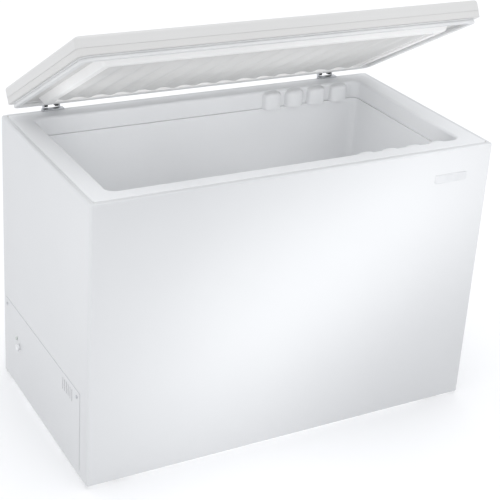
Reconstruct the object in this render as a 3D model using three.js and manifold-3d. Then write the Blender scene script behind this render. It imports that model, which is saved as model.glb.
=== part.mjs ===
// Chest freezer with its lid held part open. Millimetres, +Z up, front towards -Y.
// The origin is on the floor, under the middle of the cabinet.
import * as THREE from "three";
import { mergeVertices } from "three/addons/utils/BufferGeometryUtils.js";
import Module from "manifold-3d";

const wasm = await Module();
wasm.setup();

// ---- Driving dimensions ----------------------------------------------------------------

const WIDTH = 1118; // cabinet, across X
const DEPTH = 604; // cabinet, across Y
const RIM_Z = 760; // top of the cabinet rim above the floor
const SKIRT_Z = 10; // lower edge of the cabinet sheets
const SHEET = 0.8; // painted steel
const GAP = 0.3; // between pieces that touch
const CORNER_R = 8; // vertical cabinet edges
const ROLL_R = 6; // rolled top edge of the cabinet
const FLANGE = 13; // rolled top flange of wrapper and back panel
const REAR_LIP = 15; // wrapper's return behind the cabinet

const MOUTH_X = 492; // half width of the opening inside the collar
const MOUTH_Y = 245;
const MOUTH_R = 22;
const SHOULDER_R = 8; // rounding between the flat rim and the collar wall
const COLLAR_Z = 710; // lower edge of the collar
const COLLAR_T = 3;
const LEDGE = 4; // how far the tank stands inside the collar
const FLOOR_Z = 95; // tank floor
const STEP_X = -240; // tank wall beside the compressor bay
const STEP_Z = 285; // tank floor over the compressor bay
const TANK_T = 1.5;

const BAY_X = -300; // the compressor bay is at the left end
const BAY_TOP = 236;
const FLOOR_PAN_Z = 30; // underside of the bottom panel

const PILASTER_X = [208, 280, 352, 426];
const PILASTER_HALF_W = 28;
const PILASTER_OUT = 20;
const PILASTER_TOP = 757.5;

const EVAPORATOR = { r: 4, first: 330, pitch: 75, turns: 5 };
const CONDENSER = { r: 3, first: 290, pitch: 70, turns: 6 };

const LID = { x: 549, front: -278, back: 280, bottom: 772.5, groove: 788.5, top: 817.5 };
const LID_EDGE_R = 8;
const LID_CORNER_R = 14;
const PLUG = { x: 484, y: 234, z: 755, draft: 12, border: 20, recess: 6 };
const LID_RIBS = 15;
const GASKET_RING = { inset: 5, width: 15 }; // set in from the lid's edge, and its width
const LID_OPEN_DEG = 30; // how far open the lid stands in the rest pose

const PIVOT_Y = 314.5; // hinge axis, along X, behind the cabinet
const PIVOT_Z = 778;
const HINGE_X = 420;
const PIN_R = 2.5;
const PIN_BORE_R = 2.6;

const CONTROL = { knobY: 177, knobZ: 142, lampY: 194, lampZ: 160 };
const BAY_COVER = { y0: -254, y1: 286, z0: 24, z1: 246 };
const BAY_DOOR = { y0: -222, y1: 254, z0: 34, z1: 236 }; // opening behind the service cover
const REAR_COVER = { x0: -556, x1: -296, z0: 60, z1: 246 };
const DRAIN = { x: -100, y: 150, z: 72, r: 8 };

const HALF_X = WIDTH / 2;
const HALF_Y = DEPTH / 2;
const SIDE_X = HALF_X - SHEET; // inner faces of the cabinet sheets
const FRONT_Y = HALF_Y - SHEET;

// ---- Materials -------------------------------------------------------------------------

const material = (color, roughness, metalness = 0) =>
  new THREE.MeshStandardMaterial({ color, roughness, metalness });

const WHITE_PAINT = material(0xf1f2f3, 0.28);
const RIM_PLASTIC = material(0xe6e8ea, 0.35);
const LID_PLASTIC = material(0xe9e9e6, 0.4);
const TANK_WHITE = material(0xeceeef, 0.35);
const GASKET = material(0xdcdddd, 0.6);
const FOAM = material(0xe8d9a8, 0.9);
const ZINC = material(0xb4b7ba, 0.45, 0.8);
const COPPER = material(0xb87346, 0.35, 0.9);
const BLACK_ENAMEL = material(0x1a1b1d, 0.3);
const BLACK_PLASTIC = material(0x1d1e20, 0.5);
const RUBBER = material(0x2a2a2b, 0.8);
const LAMP_LENS = material(0xbfcfbf, 0.15);

// ---- Solids ----------------------------------------------------------------------------

// A three.js geometry as a manifold solid.
function solid(geometry) {
  const bare = geometry.index ? geometry.toNonIndexed() : geometry.clone();
  bare.deleteAttribute("normal");
  bare.deleteAttribute("uv");
  const merged = mergeVertices(bare, 1e-4);
  return new wasm.Manifold(
    new wasm.Mesh({
      numProp: 3,
      vertProperties: merged.attributes.position.array,
      triVerts: new Uint32Array(merged.index.array),
    }),
  );
}

const union = (solids) => solids.reduce((sum, next) => sum.add(next));
const cutAll = (body, cutters) => cutters.reduce((left, cutter) => left.subtract(cutter), body);

function toGeometry(body) {
  const mesh = body.getMesh();
  const geometry = new THREE.BufferGeometry();
  geometry.setAttribute("position", new THREE.BufferAttribute(mesh.vertProperties, 3));
  geometry.setIndex(new THREE.BufferAttribute(mesh.triVerts, 1));
  const flat = geometry.toNonIndexed();
  flat.computeVertexNormals();
  return flat;
}

function box(x0, x1, y0, y1, z0, z1) {
  const geometry = new THREE.BoxGeometry(x1 - x0, y1 - y0, z1 - z0);
  geometry.translate((x0 + x1) / 2, (y0 + y1) / 2, (z0 + z1) / 2);
  return solid(geometry);
}

function roundedRect(x0, x1, y0, y1, r) {
  const shape = new THREE.Shape();
  shape.moveTo(x0 + r, y0);
  shape.lineTo(x1 - r, y0);
  shape.absarc(x1 - r, y0 + r, r, -Math.PI / 2, 0);
  shape.lineTo(x1, y1 - r);
  shape.absarc(x1 - r, y1 - r, r, 0, Math.PI / 2);
  shape.lineTo(x0 + r, y1);
  shape.absarc(x0 + r, y1 - r, r, Math.PI / 2, Math.PI);
  shape.lineTo(x0, y0 + r);
  shape.absarc(x0 + r, y0 + r, r, Math.PI, 1.5 * Math.PI);
  return shape;
}

function extrudeZ(shape, z0, z1, curveSegments = 4) {
  const settings = { depth: z1 - z0, bevelEnabled: false, curveSegments };
  const geometry = new THREE.ExtrudeGeometry(shape, settings);
  geometry.translate(0, 0, z0);
  return solid(geometry);
}

function slab(x0, x1, y0, y1, r, z0, z1, curveSegments = 4) {
  return extrudeZ(roundedRect(x0, x1, y0, y1, r), z0, z1, curveSegments);
}

// A slab whose top edge is rounded with radius edge; its bottom edge is square.
function cappedSlab(x0, x1, y0, y1, r, z0, z1, edge) {
  const shape = roundedRect(x0, x1, y0, y1, r);
  const geometry = new THREE.ExtrudeGeometry(shape, {
    depth: z1 - z0,
    bevelThickness: edge,
    bevelSize: edge,
    bevelOffset: -edge,
    bevelSegments: 3,
    curveSegments: 4,
  });
  geometry.translate(0, 0, z0 - edge);
  return solid(geometry).intersect(box(x0 - 1, x1 + 1, y0 - 1, y1 + 1, z0, z1 + 1));
}

// A closed outline in a plane across one axis, extruded along that axis from a to b.
// For axis x the outline is (y, z); for axis y it is (x, z).
function prism(axis, outline, a, b) {
  const shape = new THREE.Shape(outline.map(([u, v]) => new THREE.Vector2(u, v)));
  const settings = { depth: b - a, bevelEnabled: false };
  const geometry = new THREE.ExtrudeGeometry(shape, settings);
  if (axis === "x") {
    geometry.rotateX(Math.PI / 2);
    geometry.rotateZ(Math.PI / 2);
    geometry.translate(a, 0, 0);
  } else {
    geometry.rotateX(Math.PI / 2);
    geometry.translate(0, b, 0);
  }
  return solid(geometry);
}

const AIM = {
  z: (g) => g.rotateX(Math.PI / 2),
  x: (g) => g.rotateZ(-Math.PI / 2),
  y: (g) => g,
};

// A turned piece: profile points are (radius, distance along the axis from at).
function turned(profile, axis, at, segments = 20) {
  const points = profile.map(([r, s]) => new THREE.Vector2(r, s));
  const geometry = AIM[axis](new THREE.LatheGeometry(points, segments));
  geometry.translate(...at);
  return solid(geometry);
}

function rod(axis, r, at, length, segments = 20) {
  const profile = [[0, 0], [r, 0], [r, length], [0, length]];
  return turned(profile, axis, at, segments);
}

// A profile of (outward distance from the corner centre, z) carried round a rounded
// rectangle whose corner centres are at (+-hx, +-hy).
function ringSweep(profile, hx, hy, cornerSegments = 4) {
  const count = 4 * cornerSegments;
  const half = Math.PI / count;
  const grow = 1 / Math.cos(half);
  const points = profile.map(([r, z]) => new THREE.Vector2(r * grow, z));
  const geometry = new THREE.LatheGeometry(points, count, half);
  geometry.rotateX(Math.PI / 2);
  const p = geometry.attributes.position;
  for (let i = 0; i < p.count; i++) {
    p.setX(i, p.getX(i) + Math.sign(p.getX(i)) * hx);
    p.setY(i, p.getY(i) + Math.sign(p.getY(i)) * hy);
  }
  return solid(geometry);
}

// ---- Tubes -----------------------------------------------------------------------------

// A curve through listed points, sampled exactly at those points.
class Route extends THREE.Curve {
  constructor(points) {
    super();
    this.points = points;
  }

  getPoint(t) {
    const s = t * (this.points.length - 1);
    const i = Math.min(Math.floor(s), this.points.length - 2);
    return this.points[i].clone().lerp(this.points[i + 1], s - i);
  }

  getUtoTmapping(u) {
    return u;
  }
}

// Corner points turned into a run of points with rounded bends.
function bent(corners, radius, steps = 3) {
  const at = corners.map((c) => new THREE.Vector3(...c));
  const points = [at[0]];
  for (let i = 1; i < at.length - 1; i++) {
    const before = at[i - 1].clone().sub(at[i]);
    const after = at[i + 1].clone().sub(at[i]);
    const reach = Math.min(radius, before.length() * 0.45, after.length() * 0.45);
    const start = at[i].clone().addScaledVector(before.normalize(), reach);
    const end = at[i].clone().addScaledVector(after.normalize(), reach);
    const bend = new THREE.QuadraticBezierCurve3(start, at[i], end);
    points.push(...bend.getPoints(steps));
  }
  points.push(at.at(-1));
  return points;
}

function tube(corners, radius, bendRadius, bore = 0, sides = 8) {
  const points = bent(corners, bendRadius);
  const ring = (r) => {
    const turn = (i) => (2 * Math.PI * i) / sides;
    const corner = (_, i) => new THREE.Vector2(r * Math.cos(turn(i)), r * Math.sin(turn(i)));
    return Array.from({ length: sides }, corner);
  };
  const shape = new THREE.Shape(ring(radius));
  if (bore) shape.holes.push(new THREE.Path(ring(bore).reverse()));
  const settings = { steps: points.length - 1, extrudePath: new Route(points) };
  return solid(new THREE.ExtrudeGeometry(shape, settings));
}

// ---- The model -------------------------------------------------------------------------

const freezer = new THREE.Group();
const lid = new THREE.Group(); // holds the lid in its closed place, turned about the pivot
lid.position.set(0, PIVOT_Y, PIVOT_Z);
lid.rotation.x = -THREE.MathUtils.degToRad(LID_OPEN_DEG);
freezer.add(lid);

function add(name, body, look) {
  const mesh = new THREE.Mesh(toGeometry(body), look);
  mesh.name = name;
  freezer.add(mesh);
}

function addToLid(name, body, look) {
  const geometry = toGeometry(body);
  geometry.translate(0, -PIVOT_Y, -PIVOT_Z);
  const mesh = new THREE.Mesh(geometry, look);
  mesh.name = name;
  lid.add(mesh);
}

// ---- Cabinet sheets --------------------------------------------------------------------

const STEEL_TOP = RIM_Z - 1; // the collar stands 1 mm above the rolled steel edge

function cabinetWrapper() {
  const outer = cappedSlab(-HALF_X, HALF_X, -HALF_Y, HALF_Y, CORNER_R, SKIRT_Z, STEEL_TOP, ROLL_R);
  const inner = cappedSlab(
    -SIDE_X, SIDE_X, -FRONT_Y, FRONT_Y, CORNER_R - SHEET,
    SKIRT_Z - 5, STEEL_TOP - SHEET, ROLL_R - SHEET,
  );
  const reach = FLANGE - CORNER_R;
  const mouth = slab(
    -HALF_X + FLANGE, HALF_X - FLANGE, -HALF_Y + FLANGE, HALF_Y + 20, reach, RIM_Z - 30, RIM_Z + 10,
  );
  const rearX = HALF_X - REAR_LIP;
  const rear = box(-rearX, rearX, HALF_Y - FLANGE - 2, HALF_Y + 5, 0, RIM_Z + 5);
  const door = box(-HALF_X - 5, -HALF_X + 5, BAY_DOOR.y0, BAY_DOOR.y1, BAY_DOOR.z0, BAY_DOOR.z1);
  const sideHoles = serviceScrewPlaces().map(([y, z]) => rod("x", 2.3, [-HALF_X - 5, y, z], 10, 12));
  const backHoles = rearScrewPlaces().map(([x, z]) => rod("y", 2.3, [x, HALF_Y - 5, z], 10, 12));
  return cutAll(outer, [inner, mouth, rear, door, ...sideHoles, ...backHoles]);
}

function backPanel() {
  const y1 = FRONT_Y - GAP;
  const x = HALF_X - CORNER_R - 1;
  const z1 = STEEL_TOP;
  const shoulder = z1 - ROLL_R - 2;
  const plate = box(-x, x, y1 - SHEET, y1, FLOOR_PAN_Z, shoulder);
  const topX = HALF_X - REAR_LIP - GAP;
  const neck = box(-topX, topX, y1 - SHEET, y1, shoulder - 1, z1);
  const flange = box(-topX, topX, HALF_Y - FLANGE, y1, z1 - SHEET, z1);
  const bead = (z) => box(BAY_X + 60, x - 60, y1 - 0.1, y1 + 0.9, z - 9, z + 9);
  const opening = box(REAR_COVER.x0 + 16, REAR_COVER.x1 - 16, 290, 310, 66, BAY_TOP);
  const drainHole = rod("y", DRAIN.r + 1, [DRAIN.x, 290, DRAIN.z], 20);
  const screwHoles = rearScrewPlaces().map(([sx, z]) => rod("y", 2.3, [sx, 290, z], 20, 12));
  const sheet = union([plate, neck, flange, bead(300), bead(500)]);
  return cutAll(sheet, [opening, drainHole, ...screwHoles]);
}

// One folded sheet: the floor pan, the wall beside the bay and the bay's ceiling.
function bottomPanel() {
  const left = -SIDE_X + GAP;
  const right = SIDE_X - GAP;
  const outline = [
    [right, FLOOR_PAN_Z], [right, FLOOR_PAN_Z + SHEET],
    [BAY_X + SHEET, FLOOR_PAN_Z + SHEET], [BAY_X + SHEET, BAY_TOP],
    [left, BAY_TOP], [left, BAY_TOP - SHEET],
    [BAY_X, BAY_TOP - SHEET], [BAY_X, FLOOR_PAN_Z],
  ];
  const y0 = -FRONT_Y + GAP;
  const y1 = FRONT_Y - SHEET - 2 * GAP;
  const sheet = prism("y", outline, y0, y1);
  const corners = slab(left, right, y0, y1, CORNER_R + 2, 0, BAY_TOP + 10, 2);
  const passages = TUBE_PASSAGES.map(([x, y]) => box(x - 7, x + 7, y - 7, y + 7, 230, 240));
  return cutAll(sheet.intersect(corners), passages);
}

// ---- Insulation and tank ---------------------------------------------------------------

const CORE_X = MOUTH_X - MOUTH_R; // corner centres shared by collar, tank and foam cavity
const CORE_Y = MOUTH_Y - MOUTH_R;

function coreSlab(r, z0, z1) {
  return slab(-CORE_X - r, CORE_X + r, -CORE_Y - r, CORE_Y + r, r, z0, z1);
}

// The tank's volume grown by t on every side, with its step.
function tankVolume(t, top) {
  const body = coreSlab(MOUTH_R - LEDGE + t, FLOOR_Z - t, top);
  const step = box(-HALF_X, STEP_X - t, -HALF_Y, HALF_Y, 0, STEP_Z - t);
  return body.subtract(step);
}

function liner() {
  const top = COLLAR_Z - GAP;
  const outer = tankVolume(TANK_T, top);
  const flange = coreSlab(MOUTH_R + 12, top - TANK_T, top);
  const drainHole = rod("z", DRAIN.r + GAP, [DRAIN.x, DRAIN.y, FLOOR_Z - 10], 20);
  return cutAll(outer.add(flange), [tankVolume(0, RIM_Z), drainHole]);
}

const evaporatorLevels = Array.from(
  { length: EVAPORATOR.turns },
  (_, i) => EVAPORATOR.first + i * EVAPORATOR.pitch,
);
const condenserLevels = Array.from(
  { length: CONDENSER.turns },
  (_, i) => CONDENSER.first + i * CONDENSER.pitch,
);
const EVAP_X = MOUTH_X - LEDGE + TANK_T + EVAPORATOR.r + 1.5;
const EVAP_Y = MOUTH_Y - LEDGE + TANK_T + EVAPORATOR.r + 1.5;
const COND_X = SIDE_X - GAP - CONDENSER.r - 0.3;
const COND_Y = FRONT_Y - GAP - CONDENSER.r - 0.3;
const EVAP_IN = [-320, EVAP_Y, 214];
const EVAP_OUT = [-350, EVAP_Y + 12, 214];
const COND_IN = [-COND_X, 262, 214];
const COND_OUT = [-COND_X, 280, 205];
const TUBE_PASSAGES = [EVAP_IN, EVAP_OUT, COND_IN, COND_OUT];

function cabinetFoam() {
  const y0 = -FRONT_Y + GAP + 0.1;
  const y1 = FRONT_Y - SHEET - 2 * GAP - 0.2;
  const x = SIDE_X - GAP - 0.1;
  const top = RIM_Z - COLLAR_T - GAP;
  const block = cappedSlab(-x, x, y0, y1, CORNER_R + 1, FLOOR_PAN_Z + SHEET + GAP, top, ROLL_R);
  const bay = box(-HALF_X, BAY_X + SHEET + GAP, -HALF_Y, HALF_Y, 0, BAY_TOP + GAP);
  const cavity = tankVolume(TANK_T + GAP, RIM_Z + 5);
  const collarRoom = coreSlab(MOUTH_R + 13, COLLAR_Z - 2.2, RIM_Z + 5);
  const evapOut = EVAPORATOR.r + 1.5;
  const evapGroove = (z) => {
    const x1 = EVAP_X + evapOut;
    const y2 = EVAP_Y + evapOut;
    return slab(-x1, x1, -y2, y2, 20, z - 6, z + 6, 2);
  };
  const condGroove = (z) => {
    const wide = box(-HALF_X - 9, HALF_X + 9, -HALF_Y - 9, 274, z - 5, z + 5);
    const keepX = COND_X - CONDENSER.r - 1.5;
    const keepY = COND_Y - CONDENSER.r - 1.5;
    return wide.subtract(slab(-keepX, keepX, -keepY, HALF_Y, 8, z - 6, z + 6, 2));
  };
  const evapTop = evaporatorLevels.at(-1) + 6;
  const condTop = condenserLevels.at(-1) + 6;
  const upright = (side, z0, z1) => {
    const reach = [side * (COND_X - 6), side * (HALF_X + 5)].sort((a, b) => a - b);
    return box(reach[0], reach[1], 250, 274, z0, z1);
  };
  const returns = condenserLevels
    .slice(0, -1)
    .map((z, i) => upright(i % 2 ? -1 : 1, z - 5, z + CONDENSER.pitch + 5));
  return cutAll(block, [
    bay,
    cavity,
    collarRoom,
    ...evaporatorLevels.map(evapGroove),
    ...condenserLevels.map(condGroove),
    ...returns,
    upright(-1, BAY_TOP - 5, CONDENSER.first + 5),
    box(-HALF_X, -COND_X + 6, 254, 287, condTop - 11, condTop),
    box(-HALF_X, -COND_X + 6, 274, 287, BAY_TOP - 5, condTop),
    box(-338, -252, 236, EVAP_Y + 7, evaporatorLevels[0] - 6, evapTop),
    box(-338, -312, EVAP_Y - 7, EVAP_Y + 7, BAY_TOP - 5, evaporatorLevels[0]),
    box(-358, -258, EVAP_Y, EVAP_OUT[1] + 7, evapTop - 12, evapTop),
    box(-358, -334, EVAP_Y + 4, EVAP_OUT[1] + 7, BAY_TOP - 5, evapTop),
    rod("z", DRAIN.r + 1, [DRAIN.x, DRAIN.y, DRAIN.z - DRAIN.r - 1], 40),
    rod("y", DRAIN.r + 1, [DRAIN.x, DRAIN.y - 10, DRAIN.z], 200),
  ]);
}

// ---- Rim -------------------------------------------------------------------------------

function pilaster(x, side) {
  const shoulder = PILASTER_TOP - 14;
  const profile = [
    [0, 0], [PILASTER_HALF_W, 0], [PILASTER_HALF_W, shoulder - COLLAR_Z],
    [PILASTER_HALF_W * 0.9, PILASTER_TOP - 6 - COLLAR_Z],
    [PILASTER_HALF_W * 0.6, PILASTER_TOP - 1.5 - COLLAR_Z], [0, PILASTER_TOP - COLLAR_Z],
  ];
  const points = profile.map(([r, s]) => new THREE.Vector2(r, s));
  const geometry = new THREE.LatheGeometry(points, 12);
  geometry.rotateX(Math.PI / 2);
  geometry.scale(1, PILASTER_OUT / PILASTER_HALF_W, 1);
  geometry.translate(x, side * MOUTH_Y, COLLAR_Z);
  const keep = side * (MOUTH_Y + 1);
  const y0 = Math.min(0, keep);
  const y1 = Math.max(0, keep);
  return solid(geometry).intersect(box(x - 35, x + 35, y0, y1, COLLAR_Z - 1, RIM_Z));
}

// The rounded edge between a flat at z and a wall at r, from the flat down to the wall.
function shoulderArc(r, z, radius, steps) {
  const point = (_, i) => {
    const a = (Math.PI / 2) * (1 - i / steps);
    return [r + radius - radius * Math.cos(a), z - radius + radius * Math.sin(a)];
  };
  return Array.from({ length: steps + 1 }, point);
}

function breakerFrame() {
  const x = HALF_X - FLANGE - GAP;
  const y = HALF_Y - FLANGE - GAP;
  const plate = slab(-x, x, -y, y, FLANGE - CORNER_R, RIM_Z - COLLAR_T, RIM_Z);
  const field = plate.subtract(coreSlab(MOUTH_R + 20, RIM_Z - 20, RIM_Z + 5));
  const profile = [
    [MOUTH_R, COLLAR_Z], [MOUTH_R + COLLAR_T, COLLAR_Z], [MOUTH_R + COLLAR_T, RIM_Z - 10],
    [MOUTH_R + 10, RIM_Z - COLLAR_T], [MOUTH_R + 24, RIM_Z - COLLAR_T], [MOUTH_R + 24, RIM_Z],
    ...shoulderArc(MOUTH_R, RIM_Z, SHOULDER_R, 4),
    [MOUTH_R, COLLAR_Z],
  ];
  const collar = ringSweep(profile, CORE_X, CORE_Y);
  const columns = [1, -1].flatMap((side) => PILASTER_X.map((px) => pilaster(px, side)));
  return union([field, collar, ...columns]);
}

// ---- Base ------------------------------------------------------------------------------

const RAIL_X = HALF_X - REAR_LIP - 3;
const RAIL_Z = 12;
const FOOT_X = RAIL_X - 70;
const FRONT_FOOT_Y = -262;
const REAR_FOOT_Y = 278;

function rail(outline, footY) {
  const bar = prism("x", outline, -RAIL_X, RAIL_X);
  const hole = (x) => rod("z", 4.1, [x, footY, RAIL_Z - 10], 20, 16);
  return cutAll(bar, [hole(-FOOT_X), hole(FOOT_X)]);
}

// A channel open at the top, under the cabinet's front edge.
function frontBaseRail() {
  const t = 1.5;
  const y0 = FRONT_FOOT_Y - 22;
  const y1 = FRONT_FOOT_Y + 22;
  const z1 = FLOOR_PAN_Z - GAP;
  return rail([
    [y0, RAIL_Z], [y1, RAIL_Z], [y1, z1], [y1 - t, z1],
    [y1 - t, RAIL_Z + t], [y0 + t, RAIL_Z + t], [y0 + t, z1], [y0, z1],
  ], FRONT_FOOT_Y);
}

// The rear channel reaches behind the cabinet and turns up, to keep it off the wall.
function rearBaseRail() {
  const t = 1.5;
  const y0 = REAR_FOOT_Y - 22;
  const y1 = HALF_Y + 18;
  const lip = HALF_Y + 2;
  const z1 = FLOOR_PAN_Z - GAP;
  const top = 57;
  return rail([
    [y0, RAIL_Z], [y1, RAIL_Z], [y1, top], [lip, top], [lip, top - t],
    [y1 - t, top - t], [y1 - t, RAIL_Z + t], [y0 + t, RAIL_Z + t], [y0 + t, z1], [y0, z1],
  ], REAR_FOOT_Y);
}

function foot(x, y) {
  const stud = 8;
  const profile = [
    [0, 0], [16, 0], [18, 3], [17, RAIL_Z - GAP], [3.8, RAIL_Z - GAP],
    [3.8, RAIL_Z + stud], [0, RAIL_Z + stud],
  ];
  return turnedUp(profile, [x, y, 0]);
}

// A turned piece standing on at, its profile read upwards.
function turnedUp(profile, at, segments = 20) {
  const points = profile.map(([r, s]) => new THREE.Vector2(r, s));
  const geometry = new THREE.LatheGeometry(points, segments);
  geometry.rotateX(Math.PI / 2);
  geometry.translate(...at);
  return solid(geometry);
}

// ---- Compressor bay --------------------------------------------------------------------

const COMPRESSOR = { x: -430, y: 20, r: 75, stretch: 1.2, seam: 140 };

function compressorBasePlate() {
  const plate = box(-SIDE_X + 2, BAY_X - 2, -250, 294, FLOOR_PAN_Z, FLOOR_PAN_Z + 1.5);
  const vent = (i) => box(-540 + i * 26, -528 + i * 26, -200, -120, 20, 40);
  return cutAll(plate, Array.from({ length: 8 }, (_, i) => vent(i)));
}

function compressorShell(profile) {
  const points = profile.map(([r, z]) => new THREE.Vector2(r, z));
  const geometry = new THREE.LatheGeometry(points, 28);
  geometry.rotateX(Math.PI / 2);
  geometry.scale(1, COMPRESSOR.stretch, 1);
  geometry.translate(COMPRESSOR.x, COMPRESSOR.y, 0);
  return solid(geometry);
}

function grommetPlaces() {
  const sides = [-1, 1];
  return sides.flatMap((sx) =>
    sides.map((sy) => [COMPRESSOR.x + sx * 62, COMPRESSOR.y + sy * 92]),
  );
}

function compressorLowerShell() {
  const { x, y, r, seam } = COMPRESSOR;
  const bowl = compressorShell([
    [0, 46], [40, 46], [62, 58], [r - 3, 76], [r, 90], [r, seam], [0, seam],
  ]);
  const feet = slab(x - 76, x + 76, y - 106, y + 106, 12, 47, 50);
  const holes = grommetPlaces().map(([gx, gy]) => rod("z", 6, [gx, gy, 40], 20, 16));
  return cutAll(bowl.add(feet), holes);
}

function compressorUpperShell() {
  const { r, seam } = COMPRESSOR;
  return compressorShell([
    [0, seam + GAP], [r + 4, seam + GAP], [r + 4, seam + 6], [r, seam + 9],
    [r, 176], [r - 9, 196], [r - 28, 209], [0, 214],
  ]);
}

function grommet([x, y]) {
  const profile = [
    [0, 32], [11, 32], [13, 39], [11, 46.6], [5.6, 46.6], [5.6, 51], [8, 52], [7, 56], [0, 56],
  ];
  return turnedUp(profile, [x, y, 0], 16);
}

function terminalCover() {
  const { x, y, r, stretch } = COMPRESSOR;
  const back = y - r * stretch - 1;
  const shell = slab(x - 32, x + 32, back - 42, back, 5, 84, 136);
  return shell.subtract(box(x - 29, x + 29, back - 39, back + 5, 87, 133));
}

const DISCHARGE_START = [-470, 99, 120];
const SUCTION_END = [COMPRESSOR.x + COMPRESSOR.r + 0.5, COMPRESSOR.y, 120];
const DRIER = { x: -530, y: 276, r: 9, top: 188, length: 84 };

function dischargeTube() {
  const [, y, z] = DISCHARGE_START;
  const corner = y + 40;
  const route = [
    DISCHARGE_START, [-470, corner, z], [-530, corner, z], [-530, COND_IN[1] - 4, z],
    [-530, COND_IN[1] - 4, 190], [-COND_X, COND_IN[1], 190], [...COND_IN.slice(0, 2), 213.7],
  ];
  return tube(route, CONDENSER.r, 12);
}

// Runs back and forth round the cabinet, against the inside of the wrapper.
function condenserTube() {
  const [, startY] = COND_IN;
  const route = [COND_IN];
  let side = -1;
  for (const z of condenserLevels) {
    route.push([side * COND_X, startY, z], [side * COND_X, -COND_Y, z]);
    route.push([-side * COND_X, -COND_Y, z], [-side * COND_X, startY, z]);
    side = -side;
  }
  const top = condenserLevels.at(-1);
  route.push([-COND_X, COND_OUT[1], top], COND_OUT.slice(0, 2).concat(COND_OUT[2]));
  route.push([DRIER.x, DRIER.y, COND_OUT[2] - 2], [DRIER.x, DRIER.y, DRIER.top + GAP]);
  return tube(route, CONDENSER.r, 14, 0, 6);
}

function filterDrier() {
  const { r, length, top } = DRIER;
  const profile = [
    [0, 0], [3, 0], [3, 8], [r, 20], [r, length - 20], [3.5, length - 8], [3.5, length], [0, length],
  ];
  return turnedUp(profile, [DRIER.x, DRIER.y, top - length]);
}

function capillaryTube() {
  const low = DRIER.top - DRIER.length - GAP;
  const route = [
    [DRIER.x, DRIER.y, low], [DRIER.x, DRIER.y, 78], [-480, 250, 70], [-330, 250, 70],
    [-320, 250, 100], [EVAP_IN[0], EVAP_IN[1], 150], [EVAP_IN[0], EVAP_IN[1], EVAP_IN[2] - GAP],
  ];
  return tube(route, 1.3, 14, 0, 6);
}

// Turns round the tank, each level joined to the next by a short climb at the rear.
function evaporatorTube() {
  const [startX] = EVAP_IN;
  const endX = startX + 56;
  const route = [EVAP_IN, [startX, EVAP_Y, evaporatorLevels[0]]];
  evaporatorLevels.forEach((z, i) => {
    if (i) route.push([startX, EVAP_Y, z]);
    route.push([-EVAP_X, EVAP_Y, z], [-EVAP_X, -EVAP_Y, z], [EVAP_X, -EVAP_Y, z]);
    route.push([EVAP_X, EVAP_Y, z], [endX, EVAP_Y, z]);
  });
  const top = evaporatorLevels.at(-1);
  route.push([endX - 12, EVAP_OUT[1], top], [EVAP_OUT[0], EVAP_OUT[1], top], EVAP_OUT);
  return tube(route, EVAPORATOR.r, 26, 0, 6);
}

function suctionTube() {
  const [x, y, z] = EVAP_OUT;
  const [, endY, endZ] = SUCTION_END;
  const route = [
    [x, y, z - GAP], [x, y, 150], [-318, 190, endZ], [-318, endY, endZ], SUCTION_END,
  ];
  return tube(route, 4, 20);
}

// ---- Controls and covers ---------------------------------------------------------------

const COVER_OUT = HALF_X + GAP + SHEET; // outer face of the service cover

function serviceScrewPlaces() {
  return [[-236, 229], [268, 229]];
}

function rearScrewPlaces() {
  const z = (REAR_COVER.z0 + REAR_COVER.z1) / 2;
  return [[REAR_COVER.x0 + 5, z], [REAR_COVER.x1 - 8, z]];
}

function serviceCover() {
  const { y0, y1, z0, z1 } = BAY_COVER;
  const plate = box(-COVER_OUT, -HALF_X - GAP, y0, y1, z0, z1);
  const hookX = -SIDE_X + GAP;
  const hook = (y) =>
    box(-HALF_X - GAP - 0.1, hookX + SHEET, y, y + 30, BAY_DOOR.z0 + GAP, BAY_DOOR.z0 + 1.5).add(
      box(hookX, hookX + SHEET, y, y + 30, BAY_DOOR.z0 - 7, BAY_DOOR.z0 + 1.5),
    );
  const slot = (_, i) => box(-570, -550, -205.2 + i * 12, -202.8 + i * 12, 198, 232);
  const hole = (y, z, r) => rod("x", r, [-570, y, z], 20, 16);
  return cutAll(union([plate, hook(y0 + 60), hook(y1 - 120)]), [
    ...Array.from({ length: 6 }, slot),
    hole(CONTROL.knobY, CONTROL.knobZ, 6),
    hole(CONTROL.lampY, CONTROL.lampZ, 4.6),
    ...serviceScrewPlaces().map(([y, z]) => hole(y, z, 2.3)),
  ]);
}

// A pan-head screw whose head sits on the plane at and whose shank points along dir.
function screw(axis, at, dir) {
  const head = 2.2;
  const length = 9;
  const profile = [
    [0, -length * dir], [1.9, -length * dir], [1.9, 0], [4.4, 0], [4.4, head * 0.5 * dir],
    [3, head * dir], [0, head * dir],
  ];
  const ordered = dir > 0 ? profile : profile.map(([r, s]) => [r, s]).reverse();
  return turned(ordered, axis, at, 14);
}

function thermostatBody() {
  const x0 = -HALF_X + 1;
  const { knobY: y, knobZ: z } = CONTROL;
  const block = box(x0, x0 + 30, y - 20, y + 11, z - 18, z + 12);
  const neck = rod("x", 5.5, [-HALF_X - 0.6, y, z], 4, 20);
  const bore = rod("x", 3.08, [-HALF_X - 5, y, z], 22, 16);
  return block.add(neck).subtract(bore);
}

function thermostatShaft() {
  const { knobY: y, knobZ: z } = CONTROL;
  return rod("x", 3, [-HALF_X - 5.5, y, z], 20, 16);
}

function thermostatKnob() {
  const { knobY: y, knobZ: z } = CONTROL;
  const depth = 7;
  const outer = -COVER_OUT - GAP;
  const body = turned([[0, 0], [8, 0], [9, 1], [9, depth], [0, depth]], "x", [outer - depth, y, z], 24);
  const bore = rod("x", 3.3, [outer - 5, y, z], 10, 16);
  const slot = box(outer - depth - 1, outer - depth + 1.6, y - 1.2, y + 1.2, z - 7, z + 7);
  return cutAll(body, [bore, slot]);
}

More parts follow.
